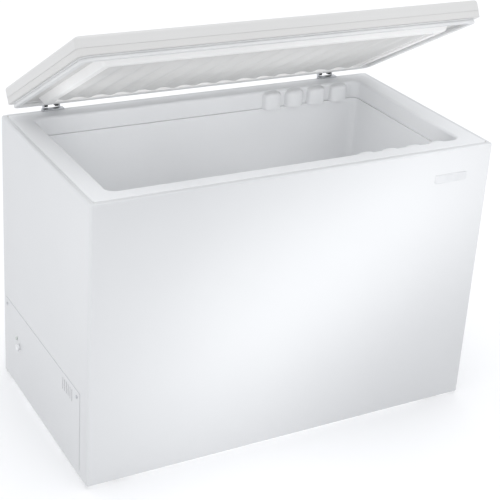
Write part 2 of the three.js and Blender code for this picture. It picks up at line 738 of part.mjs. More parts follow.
function pilotLamp() {
  const { lampY: y, lampZ: z } = CONTROL;
  const outer = COVER_OUT + GAP;
  const profile = [[0, 0], [3.2, 0.4], [5, 2], [5, 3.2], [4.2, 3.2], [4.2, 22], [0, 22]];
  return turned(profile, "x", [-outer - 3.2, y, z], 16);
}

function rearVentCover() {
  const { x0, x1, z0, z1 } = REAR_COVER;
  const plate = box(x0, x1, HALF_Y + GAP, HALF_Y + GAP + SHEET, z0, z1);
  const slots = [];
  for (let column = 0; column < 2; column++) {
    for (let row = 0; row < 7; row++) {
      const x = x0 + 30 + column * 105;
      const z = z0 + 52 + row * 17;
      slots.push(box(x, x + 92, 290, 310, z, z + 6));
    }
  }
  const gland = rod("y", 8.3, [GLAND.x, 290, GLAND.z], 20, 20);
  const holes = rearScrewPlaces().map(([x, z]) => rod("y", 2.3, [x, 290, z], 20, 12));
  return cutAll(plate, [...slots, gland, ...holes]);
}

const GLAND = { x: -330, z: 84 };

function cordGland() {
  const y = HALF_Y + GAP;
  const profile = [
    [4, -6], [8, -6], [8, SHEET + GAP], [12, SHEET + GAP], [11, 5], [6, 9], [4, 9], [4, -6],
  ];
  return turned(profile, "y", [GLAND.x, y, GLAND.z], 20);
}

// ---- Drain and badge -------------------------------------------------------------------

function drainTube() {
  const route = [
    [DRAIN.x, DRAIN.y, FLOOR_Z - 0.1], [DRAIN.x, DRAIN.y, DRAIN.z], [DRAIN.x, FRONT_Y + 0.5, DRAIN.z],
  ];
  return tube(route, DRAIN.r, 10, DRAIN.r - 2, 16);
}

function drainPlug() {
  const profile = [
    [0, -9], [4.6, -9], [5.4, 0], [5.4, GAP], [14, GAP], [14, 3], [5, 4], [5, 9], [8, 10], [8, 13],
    [0, 13],
  ];
  return turnedUp(profile, [DRAIN.x, DRAIN.y, FLOOR_Z]);
}

function drainCap() {
  const face = HALF_Y + 0.8;
  const profile = [[0, -8], [5.6, -8], [5.6, 0], [13, 0], [13, 9], [11, 10], [0, 10]];
  return turned(profile, "y", [DRAIN.x, face, DRAIN.z], 24);
}

function badge() {
  const width = 100;
  const height = 24;
  const plate = slab(-width / 2, width / 2, -height / 2, height / 2, 5, 0, 1.4);
  return plate.rotate([90, 0, 0]).translate([434, -HALF_Y - GAP, 680]);
}

// ---- Hinges ----------------------------------------------------------------------------

function hingeBase(x) {
  const back = HALF_Y + 2.3;
  const half = 29;
  const rest = box(x - half, x + half, HALF_Y - 14, back, RIM_Z + GAP, RIM_Z + 3.3);
  const hook = box(x - half, x + half, back - 2, back, RIM_Z - 28, RIM_Z + 3.3);
  const outline = [
    [back - 2, RIM_Z - 26], [back, RIM_Z - 26], [PIVOT_Y + 3.6, PIVOT_Z - 3.6],
    [PIVOT_Y - 3.6, PIVOT_Z + 3.6], [back - 2, RIM_Z + 3.2],
  ];
  const ear = (x0) =>
    prism("x", outline, x0, x0 + 3).add(rod("x", 5.2, [x0, PIVOT_Y, PIVOT_Z], 3, 20));
  const bore = rod("x", PIN_BORE_R, [x - 40, PIVOT_Y, PIVOT_Z], 80, 20);
  return union([rest, hook, ear(x - 23), ear(x + 20)]).subtract(bore);
}

function hingePin(x) {
  const head = 2;
  const reach = 23 + GAP;
  const profile = [
    [0, 0], [4, 0], [4, head], [PIN_R, head], [PIN_R, head + 2 * reach + 2], [0, head + 2 * reach + 2],
  ];
  return turned(profile, "x", [x - reach - head, PIVOT_Y, PIVOT_Z]);
}

function hingeBushing(x) {
  const half = 4.8;
  const outer = rod("x", 5.4, [x - half, PIVOT_Y, PIVOT_Z], 2 * half, 20);
  return outer.subtract(rod("x", PIN_BORE_R, [x - 20, PIVOT_Y, PIVOT_Z], 40, 20));
}

// The lid's leaf: a plate on the lid's back edge, and an arm down to the pin.
function hingeLeaf(x) {
  const face = LID.back + GAP;
  const plate = box(x - 17, x + 17, face, face + 2, LID.bottom + 1, LID.bottom + 34);
  const arm = prism("x", [
    [face, LID.bottom + 6], [face, LID.bottom - 3], [PIVOT_Y - 2, PIVOT_Z - 3.4],
    [PIVOT_Y + 2, PIVOT_Z + 3.4], [face + 2, LID.bottom + 6],
  ], x - 9, x + 9);
  const knuckle = rod("x", 4.5, [x - 9, PIVOT_Y, PIVOT_Z], 18, 20);
  const bore = rod("x", PIN_BORE_R, [x - 20, PIVOT_Y, PIVOT_Z], 40, 20);
  return union([plate, arm, knuckle]).subtract(bore);
}

// ---- Lid -------------------------------------------------------------------------------

const LID_Y = (LID.front + LID.back) / 2;
const LID_HALF_Y = (LID.back - LID.front) / 2;

// A slab as large as the lid in plan, drawn in by inset on every side.
function lidSlab(inset, z0, z1) {
  const x = LID.x - inset;
  const r = Math.max(LID_CORNER_R - inset, 2);
  return slab(-x, x, LID.front + inset, LID.back - inset, r, z0, z1);
}

function lidSkin() {
  const pan = (inset, z0) =>
    cappedSlab(
      -LID.x + inset, LID.x - inset, LID.front + inset, LID.back - inset,
      LID_CORNER_R - inset, z0, LID.top - inset, LID_EDGE_R - inset,
    );
  return pan(0, LID.groove + 1).subtract(pan(SHEET, LID.groove - 5));
}

// The plastic surround below the skin, with a tongue that reaches up inside it.
function lidFrame() {
  const wall = 3;
  const ring = lidSlab(2, LID.bottom, LID.groove - 1);
  const tongue = lidSlab(3.5, LID.groove - 2, LID.groove + 8);
  const inside = lidSlab(2 + wall, LID.bottom + wall, LID.groove + 20);
  const mouth = slab(
    -PLUG.x - GAP, PLUG.x + GAP, -PLUG.y - GAP, PLUG.y + GAP, 20, LID.bottom - 5, LID.bottom + 10,
  );
  return cutAll(ring.add(tongue), [inside, mouth]);
}

// The moulded underside: a drafted plug with a recessed, ribbed field.
function lidInnerPanel() {
  const wall = 2;
  const flangeZ = LID.bottom + 3 + GAP;
  const profile = (inset, low) => [
    [20 - inset, flangeZ + 1], [2, flangeZ + 1], [2, low], [20 - PLUG.draft - inset, low],
    [20 - inset, flangeZ + 1],
  ];
  const hx = PLUG.x - 20;
  const hy = PLUG.y - 20;
  const centre = (low) => box(-hx - 3, hx + 3, -hy - 3, hy + 3, low, flangeZ + 1);
  const outer = ringSweep(profile(0.2, PLUG.z), hx, hy).add(centre(PLUG.z));
  const hollowLow = PLUG.z + PLUG.recess + wall;
  const hollow = ringSweep(profile(wall + 1, hollowLow), hx, hy).add(centre(hollowLow));
  const flange = slab(-PLUG.x - 24, PLUG.x + 24, -PLUG.y - 14, PLUG.y + 14, 20, flangeZ, flangeZ + 1.7);
  const fieldX = PLUG.x - PLUG.draft - PLUG.border;
  const fieldY = PLUG.y - PLUG.draft - PLUG.border;
  const field = slab(-fieldX, fieldX, -fieldY, fieldY, 8, PLUG.z - 5, PLUG.z + PLUG.recess);
  const pitch = (2 * fieldX) / LID_RIBS;
  const rib = (_, i) => {
    const x = -fieldX + (i + 0.5) * pitch;
    const root = PLUG.z + PLUG.recess + 0.5;
    return prism("y", [
      [x - pitch * 0.32, root], [x - pitch * 0.14, PLUG.z + 1],
      [x + pitch * 0.14, PLUG.z + 1], [x + pitch * 0.32, root],
    ], -fieldY + 1, fieldY - 1);
  };
  const shell = outer.add(flange).subtract(hollow.add(box(-hx, hx, -hy, hy, flangeZ, flangeZ + 9)));
  return shell.subtract(field).add(union(Array.from({ length: LID_RIBS }, rib)));
}

function lidFoam() {
  const flangeTop = LID.bottom + 3 + GAP + 1.7 + GAP;
  const inset = 8;
  const block = lidSlab(inset, flangeTop, LID.top - SHEET - GAP);
  const hx = PLUG.x - 26;
  const hy = PLUG.y - 26;
  const low = PLUG.z + PLUG.recess + 2 + GAP;
  return block.add(slab(-hx, hx, -hy, hy, 6, low, flangeTop + 1));
}

// A bellows gasket under the lid's edge: base, waist and magnet tube.
function lidGasket() {
  const { width, inset } = GASKET_RING;
  const z1 = LID.bottom - GAP;
  const z0 = RIM_Z + 0.5;
  const profile = [
    [0, z1], [0, z1 - 2], [2.5, z1 - 3.2], [0, z0 + 6], [0, z0 + 1], [1, z0],
    [width - 1, z0], [width, z0 + 1], [width, z0 + 6], [width - 2.5, z1 - 3.2],
    [width, z1 - 2], [width, z1], [0, z1],
  ].map(([r, z]) => [r + LID_CORNER_R - inset, z]);
  const hx = LID.x - LID_CORNER_R - width;
  const hy = LID_HALF_Y - LID_CORNER_R - width;
  return ringSweep(profile, hx, hy, 3).translate([0, LID_Y, 0]);
}

// ---- Assembly --------------------------------------------------------------------------

add("cabinet_wrapper", cabinetWrapper(), WHITE_PAINT);
add("back_panel", backPanel(), WHITE_PAINT);
add("bottom_panel", bottomPanel(), ZINC);
add("cabinet_foam", cabinetFoam(), FOAM);
add("liner", liner(), TANK_WHITE);
add("breaker_frame", breakerFrame(), RIM_PLASTIC);
add("front_base_rail", frontBaseRail(), ZINC);
add("rear_base_rail", rearBaseRail(), ZINC);
add("foot_front_left", foot(-FOOT_X, FRONT_FOOT_Y), BLACK_PLASTIC);
add("foot_front_right", foot(FOOT_X, FRONT_FOOT_Y), BLACK_PLASTIC);
add("foot_rear_left", foot(-FOOT_X, REAR_FOOT_Y), BLACK_PLASTIC);
add("foot_rear_right", foot(FOOT_X, REAR_FOOT_Y), BLACK_PLASTIC);
add("badge", badge(), RIM_PLASTIC);

add("compressor_base_plate", compressorBasePlate(), ZINC);
add("compressor_lower_shell", compressorLowerShell(), BLACK_ENAMEL);
add("compressor_upper_shell", compressorUpperShell(), BLACK_ENAMEL);
grommetPlaces().forEach((place, i) => add(`compressor_grommet_${i + 1}`, grommet(place), RUBBER));
add("terminal_cover", terminalCover(), BLACK_PLASTIC);
add("discharge_tube", dischargeTube(), COPPER);
add("condenser_tube", condenserTube(), COPPER);
add("filter_drier", filterDrier(), COPPER);
add("capillary_tube", capillaryTube(), COPPER);
add("evaporator_tube", evaporatorTube(), COPPER);
add("suction_tube", suctionTube(), COPPER);

add("service_cover", serviceCover(), WHITE_PAINT);
serviceScrewPlaces().forEach(([y, z], i) => {
  const place = [-COVER_OUT - GAP, y, z];
  add(`service_cover_screw_${i + 1}`, screw("x", place, -1), ZINC);
});
add("rear_vent_cover", rearVentCover(), WHITE_PAINT);
rearScrewPlaces().forEach(([x, z], i) => {
  const place = [x, HALF_Y + 2 * GAP + SHEET, z];
  add(`rear_cover_screw_${i + 1}`, screw("y", place, 1), ZINC);
});
add("cord_gland", cordGland(), BLACK_PLASTIC);
add("thermostat_body", thermostatBody(), BLACK_PLASTIC);
add("thermostat_shaft", thermostatShaft(), ZINC);
add("thermostat_knob", thermostatKnob(), RIM_PLASTIC);
add("pilot_lamp", pilotLamp(), LAMP_LENS);
add("drain_tube", drainTube(), LID_PLASTIC);
add("drain_plug", drainPlug(), RIM_PLASTIC);
add("drain_cap", drainCap(), RIM_PLASTIC);

for (const [side, x] of [["left", -HINGE_X], ["right", HINGE_X]]) {
  add(`hinge_base_${side}`, hingeBase(x), ZINC);
  add(`hinge_pin_${side}`, hingePin(x), ZINC);
  add(`hinge_bushing_${side}_1`, hingeBushing(x - 14.4), BLACK_PLASTIC);
  add(`hinge_bushing_${side}_2`, hingeBushing(x + 14.4), BLACK_PLASTIC);
  addToLid(`hinge_leaf_${side}`, hingeLeaf(x), ZINC);
}

addToLid("lid_skin", lidSkin(), WHITE_PAINT);
addToLid("lid_frame", lidFrame(), LID_PLASTIC);
addToLid("lid_foam", lidFoam(), FOAM);
addToLid("lid_inner_panel", lidInnerPanel(), LID_PLASTIC);
addToLid("lid_gasket", lidGasket(), GASKET);

export default freezer;
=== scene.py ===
"""Chest freezer with its lid held part open: the looks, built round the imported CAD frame.

Lengths in the modelling code are millimetres in the frame's axes; they become metres as a mesh is made.
Lights, the floor and the camera are in metres.
Lid pieces are written with the lid closed and turned to its rest place by LID_TURN.
"""

from math import cos, pi, radians, sin

import bmesh
import bpy
from mathutils import Matrix, Vector


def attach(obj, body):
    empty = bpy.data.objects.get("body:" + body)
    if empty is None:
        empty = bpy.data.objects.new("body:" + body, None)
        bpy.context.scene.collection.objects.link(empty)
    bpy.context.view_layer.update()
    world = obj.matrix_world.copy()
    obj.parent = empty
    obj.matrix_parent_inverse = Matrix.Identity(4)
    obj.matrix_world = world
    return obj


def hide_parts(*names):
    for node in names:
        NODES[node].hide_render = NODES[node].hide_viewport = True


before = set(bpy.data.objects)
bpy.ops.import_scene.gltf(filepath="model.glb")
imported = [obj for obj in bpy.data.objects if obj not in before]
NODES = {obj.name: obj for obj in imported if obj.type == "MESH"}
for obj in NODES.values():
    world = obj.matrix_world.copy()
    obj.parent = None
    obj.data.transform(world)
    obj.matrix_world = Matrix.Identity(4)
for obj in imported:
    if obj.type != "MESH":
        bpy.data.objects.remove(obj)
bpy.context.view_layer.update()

MM = 0.001

# ---- Sizes shared by several pieces, in mm ---------------------------------------------

CABINET = Vector((559.0, 302.0))  # half width and half depth
SHEET = 0.8
CORNER_R = 8.0
ROLL_R = 6.0
STEEL_LOW = 10.0
STEEL_TOP = 759.0
RIM_TOP = 760.0
FLANGE = 13.0
REAR_LIP_X = 544.0

CORE = Vector((470.0, 223.0))  # corner centres shared by collar and tank
MOUTH_R = 22.0
COLLAR_LOW = 710.0
COLUMN_X = (208.0, 280.0, 352.0, 426.0)
COLUMN_HALF_W = 28.0
COLUMN_OUT = 20.0
COLUMN_TOP = 757.5
COLUMN_ZONE = (COLUMN_X[0] - COLUMN_HALF_W - 10, COLUMN_X[-1] + COLUMN_HALF_W + 10)

TANK_R = 18.0
TANK_WALL = 1.4
TANK_FLOOR = 95.0
TANK_TOP = 709.7
STEP_X = -240.0  # right end of the tank's step over the compressor bay
STEP_Z = 285.0

PIVOT = Vector((0.0, 314.5, 778.0))
LID_OPEN = radians(30.0)
LID_HALF = Vector((549.0, 279.0))
LID_CORNER_R = 14.0
LID_Y = 1.0
LID_TOP = 817.5
SKIN_LOW = 789.5
FRAME_LOW = 772.5
FRAME_HIGH = 788.7
PLUG = Vector((464.0, 214.0))  # corner centres of the lid's plug
PLUG_LOW = 755.0
FIELD = Vector((452.0, 202.0))  # half sizes of the ribbed field inside the plug's border
FIELD_Z = 761.0
RIBS = 15
RIB_PITCH = 2 * FIELD.x / RIBS
RIB_DEPTH = 6.0

HINGE_X = 420.0

# places on the left wall, as y and z
KNOB_AT = (177.0, 142.0)
LAMP_AT = (194.0, 160.0)
COVER_SCREWS = ((-236.0, 229.0), (268.0, 229.0))
COVER_X = -559.3  # the service cover's inner face, and where its fittings stand
FITTING_X = -560.4

# places on the back, as x and z
CAP_AT = (-100.0, 72.0)
CORD_AT = (-330.0, 84.0)
GRILLE_SCREWS = ((-551.0, 153.0), (-304.0, 153.0))
BACK_Y = 300.1  # inner faces of the back sheet and of the grille on it
GRILLE_Y = 302.3

SCREW_HOLE_R = 2.3
DRAIN_AT = (-100.0, 150.0)  # x and y in the tank's floor

LID_TURN = Matrix.Translation(PIVOT) @ Matrix.Rotation(-LID_OPEN, 4, "X") @ Matrix.Translation(-PIVOT)


# ---- Points and faces ------------------------------------------------------------------

def arc(cx, cy, r, start, turn, steps):
    return [
        (cx + r * cos(start + turn * i / steps), cy + r * sin(start + turn * i / steps))
        for i in range(steps + 1)
    ]


def rounded(hx, hy, r, z, cy=0.0, along=(), steps=8):
    """Points anticlockwise round a rounded rectangle; along holds extra x on its front and back."""
    r = max(r, 0.05)
    cx, dy = hx - r, hy - r
    points = arc(-cx, cy - dy, r, pi, pi / 2, steps)
    points += [(x, cy - hy) for x in along]
    points += arc(cx, cy - dy, r, 1.5 * pi, pi / 2, steps)
    points += arc(cx, cy + dy, r, 0, pi / 2, steps)
    points += [(x, cy + hy) for x in reversed(along)]
    points += arc(-cx, cy + dy, r, pi / 2, pi / 2, steps)
    return [(x, y, z) for x, y in points]


def loop2d(u0, u1, v0, v1, r, steps=5):
    """A rounded rectangle's outline in a plane."""
    hu, hv = (u1 - u0) / 2, (v1 - v0) / 2
    cu, cv = (u0 + u1) / 2, (v0 + v1) / 2
    return [(cu + u, cv + v) for u, v, _ in rounded(hu, hv, min(r, hu - 0.01, hv - 0.01), 0, steps=steps)]


def circle2d(u, v, r, steps=28):
    return [(u + r * cos(2 * pi * i / steps), v + r * sin(2 * pi * i / steps)) for i in range(steps)]


def turned_ring(radius_at, w, count):
    """Points round the w axis at height w, each as far from it as radius_at gives for its angle."""
    angles = [2 * pi * i / count for i in range(count)]
    return [(radius_at(a) * cos(a), radius_at(a) * sin(a), w) for a in angles]


def ridged_rings(profile, depth, ridges=24, count=96):
    """Rings of a gripped knob: each step is (radius, height, share of the ridges' depth)."""
    return [
        turned_ring(lambda a: r - depth * share * (0.5 + 0.5 * cos(ridges * a)), w, count)
        for r, w, share in profile
    ]


class Form:
    """The points and faces of one piece, gathered part by part."""

    def __init__(self):
        self.points = []
        self.faces = []

    def add(self, points, faces):
        first = len(self.points)
        self.points += [tuple(p) for p in points]
        self.faces += [[first + i for i in face] for face in faces]
        return self

    def loft(self, rings, closed=True, loop=False, cap_low=False, cap_high=False):
        """Quads between rings of equally many points, each ring one step up the one before."""
        count = len(rings[0])
        last = count if closed else count - 1
        pairs = list(zip(range(len(rings) - 1), range(1, len(rings))))
        if loop:
            pairs.append((len(rings) - 1, 0))
        faces = [
            (a * count + i, a * count + (i + 1) % count, b * count + (i + 1) % count, b * count + i)
            for a, b in pairs
            for i in range(last)
        ]
        if cap_low:
            faces.append(tuple(reversed(range(count))))
        if cap_high:
            faces.append(tuple(range((len(rings) - 1) * count, len(rings) * count)))
        return self.add([p for ring in rings for p in ring], faces)

    def lathe(self, profile, axis, at, segments=40, stretch=1.0):
        """Profile points are (radius, distance along the axis from at)."""
        frames = {
            "x": lambda c, s, d: (d, c, s),
            "y": lambda c, s, d: (s, d, c),
            "z": lambda c, s, d: (c, s * stretch, d),
        }
        rings = []
        for r, d in profile:
            ring = []
            for i in range(segments):
                a = 2 * pi * i / segments
                p = frames[axis](r * cos(a), r * sin(a), d)
                ring.append(tuple(at[k] + p[k] for k in range(3)))
            rings.append(ring)
        return self.loft(rings)

    def box(self, x0, x1, y0, y1, z0, z1):
        low = [(x0, y0, z0), (x1, y0, z0), (x1, y1, z0), (x0, y1, z0)]
        high = [(x, y, z1) for x, y, _ in low]
        return self.loft([low, high], cap_low=True, cap_high=True)

    def slab(self, outline, w0, w1):
        """A flat outline in (u, v) between w0 and w1."""
        rings = [[(u, v, w) for u, v in outline] for w in (w0, w1)]
        return self.loft(rings, cap_low=True, cap_high=True)

    def grid(self, us, vs, height):
        points = [(u, v, height(u, v)) for v in vs for u in us]
        n = len(us)
        faces = [
            (j * n + i, j * n + i + 1, (j + 1) * n + i + 1, (j + 1) * n + i)
            for j in range(len(vs) - 1)
            for i in range(n - 1)
        ]
        return self.add(points, faces)

    def placed(self, place):
        self.points = [tuple(place(*p)) for p in self.points]
        return self

    def join(self, other):
        return self.add(other.points, other.faces)


def punched(outline, holes, w0, w1, edge=0.15):
    """A flat sheet between w0 and w1, cut through by its holes, with softened edges."""
    curve = bpy.data.curves.new("sheet", "CURVE")
    curve.dimensions = "2D"
    curve.fill_mode = "BOTH"
    curve.extrude = (w1 - w0) / 2 - edge
    curve.bevel_depth = edge
    curve.bevel_resolution = 1
    curve.offset = -edge
    for loop in [outline, *holes]:
        spline = curve.splines.new("POLY")
        spline.points.add(len(loop) - 1)
        for point, (u, v) in zip(spline.points, loop):
            point.co = (u, v, 0, 1)
        spline.use_cyclic_u = True
    holder = bpy.data.objects.new("sheet", curve)
    bpy.context.scene.collection.objects.link(holder)
    drawn = holder.evaluated_get(bpy.context.evaluated_depsgraph_get())
    mesh = bpy.data.meshes.new_from_object(drawn)
    middle = (w0 + w1) / 2
    points = [(v.co.x, v.co.y, v.co.z + middle) for v in mesh.vertices]
    faces = [tuple(p.vertices) for p in mesh.polygons]
    bpy.data.objects.remove(holder)
    bpy.data.meshes.remove(mesh)
    bpy.data.curves.remove(curve)
    return Form().add(points, faces)


# ---- Pieces ----------------------------------------------------------------------------

def shade(mesh, degrees):
    """Smooth shading, broken at edges sharper than the given angle."""
    bm = bmesh.new()
    bm.from_mesh(mesh)
    for face in bm.faces:
        face.smooth = True
    for edge in bm.edges:
        edge.smooth = len(edge.link_faces) == 2 and edge.calc_face_angle(0) < radians(degrees)
    bm.to_mesh(mesh)
    bm.free()


def bake(obj):
    """The object's modifiers made part of its mesh."""
    bpy.context.view_layer.update()
    shaped = obj.evaluated_get(bpy.context.evaluated_depsgraph_get())
    mesh = bpy.data.meshes.new_from_object(shaped)
    obj.modifiers.clear()
    obj.data = mesh


def soften(obj, width, steps=2):
    """A bevel, in mm, on the object's sharp edges."""
    edges = obj.modifiers.new("edges", "BEVEL")
    edges.width = width * MM
    edges.segments = steps
    edges.limit_method = "ANGLE"
    edges.angle_limit = radians(40)
    edges.harden_normals = False


def keep_flats(obj):
    """Shading normals weighted by the size of the faces, so that large faces look flat."""
    normals = obj.modifiers.new("normals", "WEIGHTED_NORMAL")
    normals.keep_sharp = True


def piece(
    name, form, body, finish, stands_for=(), bevel=0.0, bevel_steps=2, sheet=0.0, sharp=38, outward=True
):
    """One visible piece from a form, riding on a body, with a finish."""
    mesh = bpy.data.meshes.new(name)
    mesh.from_pydata([Vector(p) * MM for p in form.points], [], form.faces)
    bm = bmesh.new()
    bm.from_mesh(mesh)
    bmesh.ops.remove_doubles(bm, verts=bm.verts, dist=0.004 * MM)
    bmesh.ops.dissolve_degenerate(bm, edges=bm.edges, dist=0.002 * MM)
    if outward:
        bmesh.ops.recalc_face_normals(bm, faces=bm.faces)
    if body == "lid":
        scale = Matrix.Scale(1 / MM, 4)
        bmesh.ops.transform(bm, matrix=scale.inverted() @ LID_TURN @ scale, verts=bm.verts)
    bm.to_mesh(mesh)
    bm.free()
    obj = bpy.data.objects.new(name, mesh)
    bpy.context.scene.collection.objects.link(obj)
    if sheet:
        solidify = obj.modifiers.new("sheet", "SOLIDIFY")
        solidify.thickness = sheet * MM
        solidify.offset = -1
    if bevel:
        soften(obj, bevel, bevel_steps)
    if sheet or bevel:
        bake(obj)
    shade(obj.data, sharp)
    keep_flats(obj)
    obj.data.materials.clear()
    obj.data.materials.append(MATERIALS[finish])
    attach(obj, body)
    if stands_for:
        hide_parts(*stands_for)
    return obj


def kept(node, finish, bevel):
    """A CAD node that stays, with softened edges and a finish."""
    obj = NODES[node]
    weld = obj.modifiers.new("weld", "WELD")
    weld.merge_threshold = 0.005 * MM
    if bevel:
        soften(obj, bevel)
    for slot in obj.material_slots:
        slot.material = MATERIALS[finish]
    if not obj.material_slots:
        obj.data.materials.append(MATERIALS[finish])


# ---- Materials -------------------------------------------------------------------------

def link(tree, source, target):
    tree.links.new(source, target)


def noise(tree, place, scale, detail=2.0, rough=0.5):
    node = tree.nodes.new("ShaderNodeTexNoise")
    node.inputs["Scale"].default_value = scale
    node.inputs["Detail"].default_value = detail
    node.inputs["Roughness"].default_value = rough
    link(tree, place, node.inputs["Vector"])
    return node.outputs["Fac"]


def cells(tree, place, scale):
    node = tree.nodes.new("ShaderNodeTexVoronoi")
    node.inputs["Scale"].default_value = scale
    link(tree, place, node.inputs["Vector"])
    return node


def spread(tree, value, low, high, from_low=0.3, from_high=0.7):
    node = tree.nodes.new("ShaderNodeMapRange")
    node.inputs["From Min"].default_value = from_low
    node.inputs["From Max"].default_value = from_high
    node.inputs["To Min"].default_value = low
    node.inputs["To Max"].default_value = high
    link(tree, value, node.inputs["Value"])
    return node.outputs["Result"]


def mixed(tree, factor, a, b):
    node = tree.nodes.new("ShaderNodeMix")
    node.data_type = "RGBA"
    link(tree, factor, node.inputs["Factor"])
    node.inputs["A"].default_value = (*a, 1)
    node.inputs["B"].default_value = (*b, 1)
    return node.outputs["Result"]


def bump(tree, height, depth_mm, strength, before=None):
    node = tree.nodes.new("ShaderNodeBump")
    node.inputs["Distance"].default_value = depth_mm * MM
    node.inputs["Strength"].default_value = strength
    link(tree, height, node.inputs["Height"])
    if before is not None:
        link(tree, before, node.inputs["Normal"])
    return node.outputs["Normal"]


def finish(name, colour, tint, mottle, rough, bumps, metallic=0.0, cell_scale=0.0, **sockets):
    """A procedural surface: two close colours in soft patches, uneven gloss, and layers of relief.

    mottle is the patches' scale per metre, rough the low and high roughness, and each bump is
    (scale per metre, depth in mm, strength, noise detail). cell_scale draws crystal or pebble cells.
    """
    material = bpy.data.materials.new(name)
    material.use_nodes = True
    tree = material.node_tree
    shader = tree.nodes["Principled BSDF"]
    place = tree.nodes.new("ShaderNodeTexCoord").outputs["Object"]
    patches = noise(tree, place, mottle, 3.0)
    factor = spread(tree, patches, 0, 1)
    if cell_scale:
        crystals = cells(tree, place, cell_scale)
        factor = spread(tree, crystals.outputs["Color"], 0, 1, 0.1, 0.9)
    link(tree, mixed(tree, factor, colour, tint), shader.inputs["Base Color"])
    link(tree, spread(tree, noise(tree, place, mottle * 3.1, 4.0), *rough), shader.inputs["Roughness"])
    normal = None
    for scale, depth, strength, detail in bumps:
        normal = bump(tree, noise(tree, place, scale, detail), depth, strength, normal)
    if normal is not None:
        link(tree, normal, shader.inputs["Normal"])
    shader.inputs["Metallic"].default_value = metallic
    for socket, value in sockets.items():
        shader.inputs[socket.replace("_", " ")].default_value = value
    return material


LOOKS = {
    "white_paint": dict(
        colour=(0.66, 0.667, 0.676), tint=(0.642, 0.648, 0.658), mottle=2.2, rough=(0.30, 0.36),
        bumps=[(1.6, 1.0, 0.05, 1), (520, 0.05, 0.12, 2)], Specular_IOR_Level=0.5,
    ),
    "lid_paint": dict(
        colour=(0.666, 0.663, 0.655), tint=(0.65, 0.647, 0.639), mottle=2.2, rough=(0.30, 0.36),
        bumps=[(1.6, 1.0, 0.05, 1), (520, 0.05, 0.12, 2)], Specular_IOR_Level=0.5,
    ),
    "lid_edge": dict(
        colour=(0.655, 0.65, 0.64), tint=(0.64, 0.635, 0.625), mottle=5, rough=(0.38, 0.46),
        bumps=[(1100, 0.04, 0.2, 2), (5, 0.8, 0.06, 1)],
    ),
    # The plug's border: the same plastic as the underside's field, painted much lighter as a painted
    # highlight.
    "plug_white_painted_highlight": dict(
        colour=(0.86, 0.857, 0.85), tint=(0.84, 0.837, 0.83), mottle=5, rough=(0.36, 0.46),
        bumps=[(1100, 0.03, 0.2, 2), (5, 0.8, 0.06, 1)],
    ),
    "badge_satin": dict(
        colour=(0.64, 0.647, 0.658), tint=(0.60, 0.607, 0.62), mottle=30, rough=(0.3, 0.4),
        bumps=[(1600, 0.02, 0.2, 2)], metallic=0.1,
    ),
    "rim_plastic": dict(
        colour=(0.82, 0.828, 0.84), tint=(0.797, 0.805, 0.817), mottle=5, rough=(0.36, 0.46),
        bumps=[(1400, 0.03, 0.25, 2), (4, 0.6, 0.06, 1)],
    ),
    # The underside's ribbed field: the same plastic as the plug's border, painted darker as painted shade.
    # The drain tube uses it too.
    "lid_plastic": dict(
        colour=(0.625, 0.622, 0.615), tint=(0.605, 0.602, 0.595), mottle=5, rough=(0.38, 0.48),
        bumps=[(1100, 0.04, 0.25, 2), (5, 0.8, 0.08, 1)],
    ),
    "tank_white": dict(
        colour=(0.84, 0.848, 0.861), tint=(0.816, 0.825, 0.837), mottle=3, rough=(0.34, 0.46),
        bumps=[(260, 0.25, 0.22, 1), (3, 1.0, 0.1, 1)],
    ),
    "gasket_vinyl": dict(
        colour=(0.75, 0.755, 0.755), tint=(0.71, 0.715, 0.72), mottle=14, rough=(0.5, 0.62),
        bumps=[(900, 0.05, 0.2, 2)],
    ),
    "foam": dict(
        colour=(0.80, 0.68, 0.38), tint=(0.70, 0.56, 0.28), mottle=18, rough=(0.85, 0.95),
        bumps=[(300, 0.8, 0.6, 6)],
    ),
    "zinc": dict(
        colour=(0.62, 0.63, 0.65), tint=(0.50, 0.515, 0.535), mottle=30, rough=(0.32, 0.48),
        bumps=[(700, 0.04, 0.2, 3)], metallic=0.9, cell_scale=95,
    ),
    "copper": dict(
        colour=(0.72, 0.40, 0.25), tint=(0.55, 0.28, 0.16), mottle=22, rough=(0.26, 0.42),
        bumps=[(600, 0.04, 0.2, 3)], metallic=1.0,
    ),
    "black_enamel": dict(
        colour=(0.014, 0.014, 0.016), tint=(0.026, 0.026, 0.028), mottle=16, rough=(0.22, 0.34),
        bumps=[(420, 0.05, 0.2, 3)],
    ),
    "black_plastic": dict(
        colour=(0.022, 0.022, 0.024), tint=(0.034, 0.034, 0.036), mottle=40, rough=(0.42, 0.56),
        bumps=[(1800, 0.04, 0.3, 2)],
    ),
    "black_rubber": dict(
        colour=(0.03, 0.03, 0.031), tint=(0.05, 0.049, 0.048), mottle=50, rough=(0.7, 0.85),
        bumps=[(1200, 0.06, 0.3, 3)],
    ),
    "lamp_lens": dict(
        colour=(0.52, 0.57, 0.53), tint=(0.56, 0.61, 0.57), mottle=200, rough=(0.08, 0.14),
        bumps=[(900, 0.05, 0.15, 1)], Coat_Weight=0.4,
    ),
}
MATERIALS = {name: finish(name, **look) for name, look in LOOKS.items()}


# ---- Cabinet ---------------------------------------------------------------------------

DOOR_Y = (-222.0, 254.0)  # opening behind the service cover
DOOR_Z = (34.0, 236.0)


def wrapper_path(inset, z):
    """From the rear left return round the front to the rear right one."""
    hx, hy = CABINET.x - inset, CABINET.y - inset
    r = max(CORNER_R - inset, 0.6)
    steps = 8
    points = [(-REAR_LIP_X, hy)]
    points += arc(-(hx - r), hy - r, r, pi / 2, pi / 2, steps)
    points += [(-hx, DOOR_Y[1]), (-hx, DOOR_Y[0])]
    points += arc(-(hx - r), -(hy - r), r, pi, pi / 2, steps)
    points += arc(hx - r, -(hy - r), r, 1.5 * pi, pi / 2, steps)
    points += arc(hx - r, hy - r, r, 0, pi / 2, steps)
    points += [(REAR_LIP_X, hy)]
    return [(x, y, z) for x, y in points]


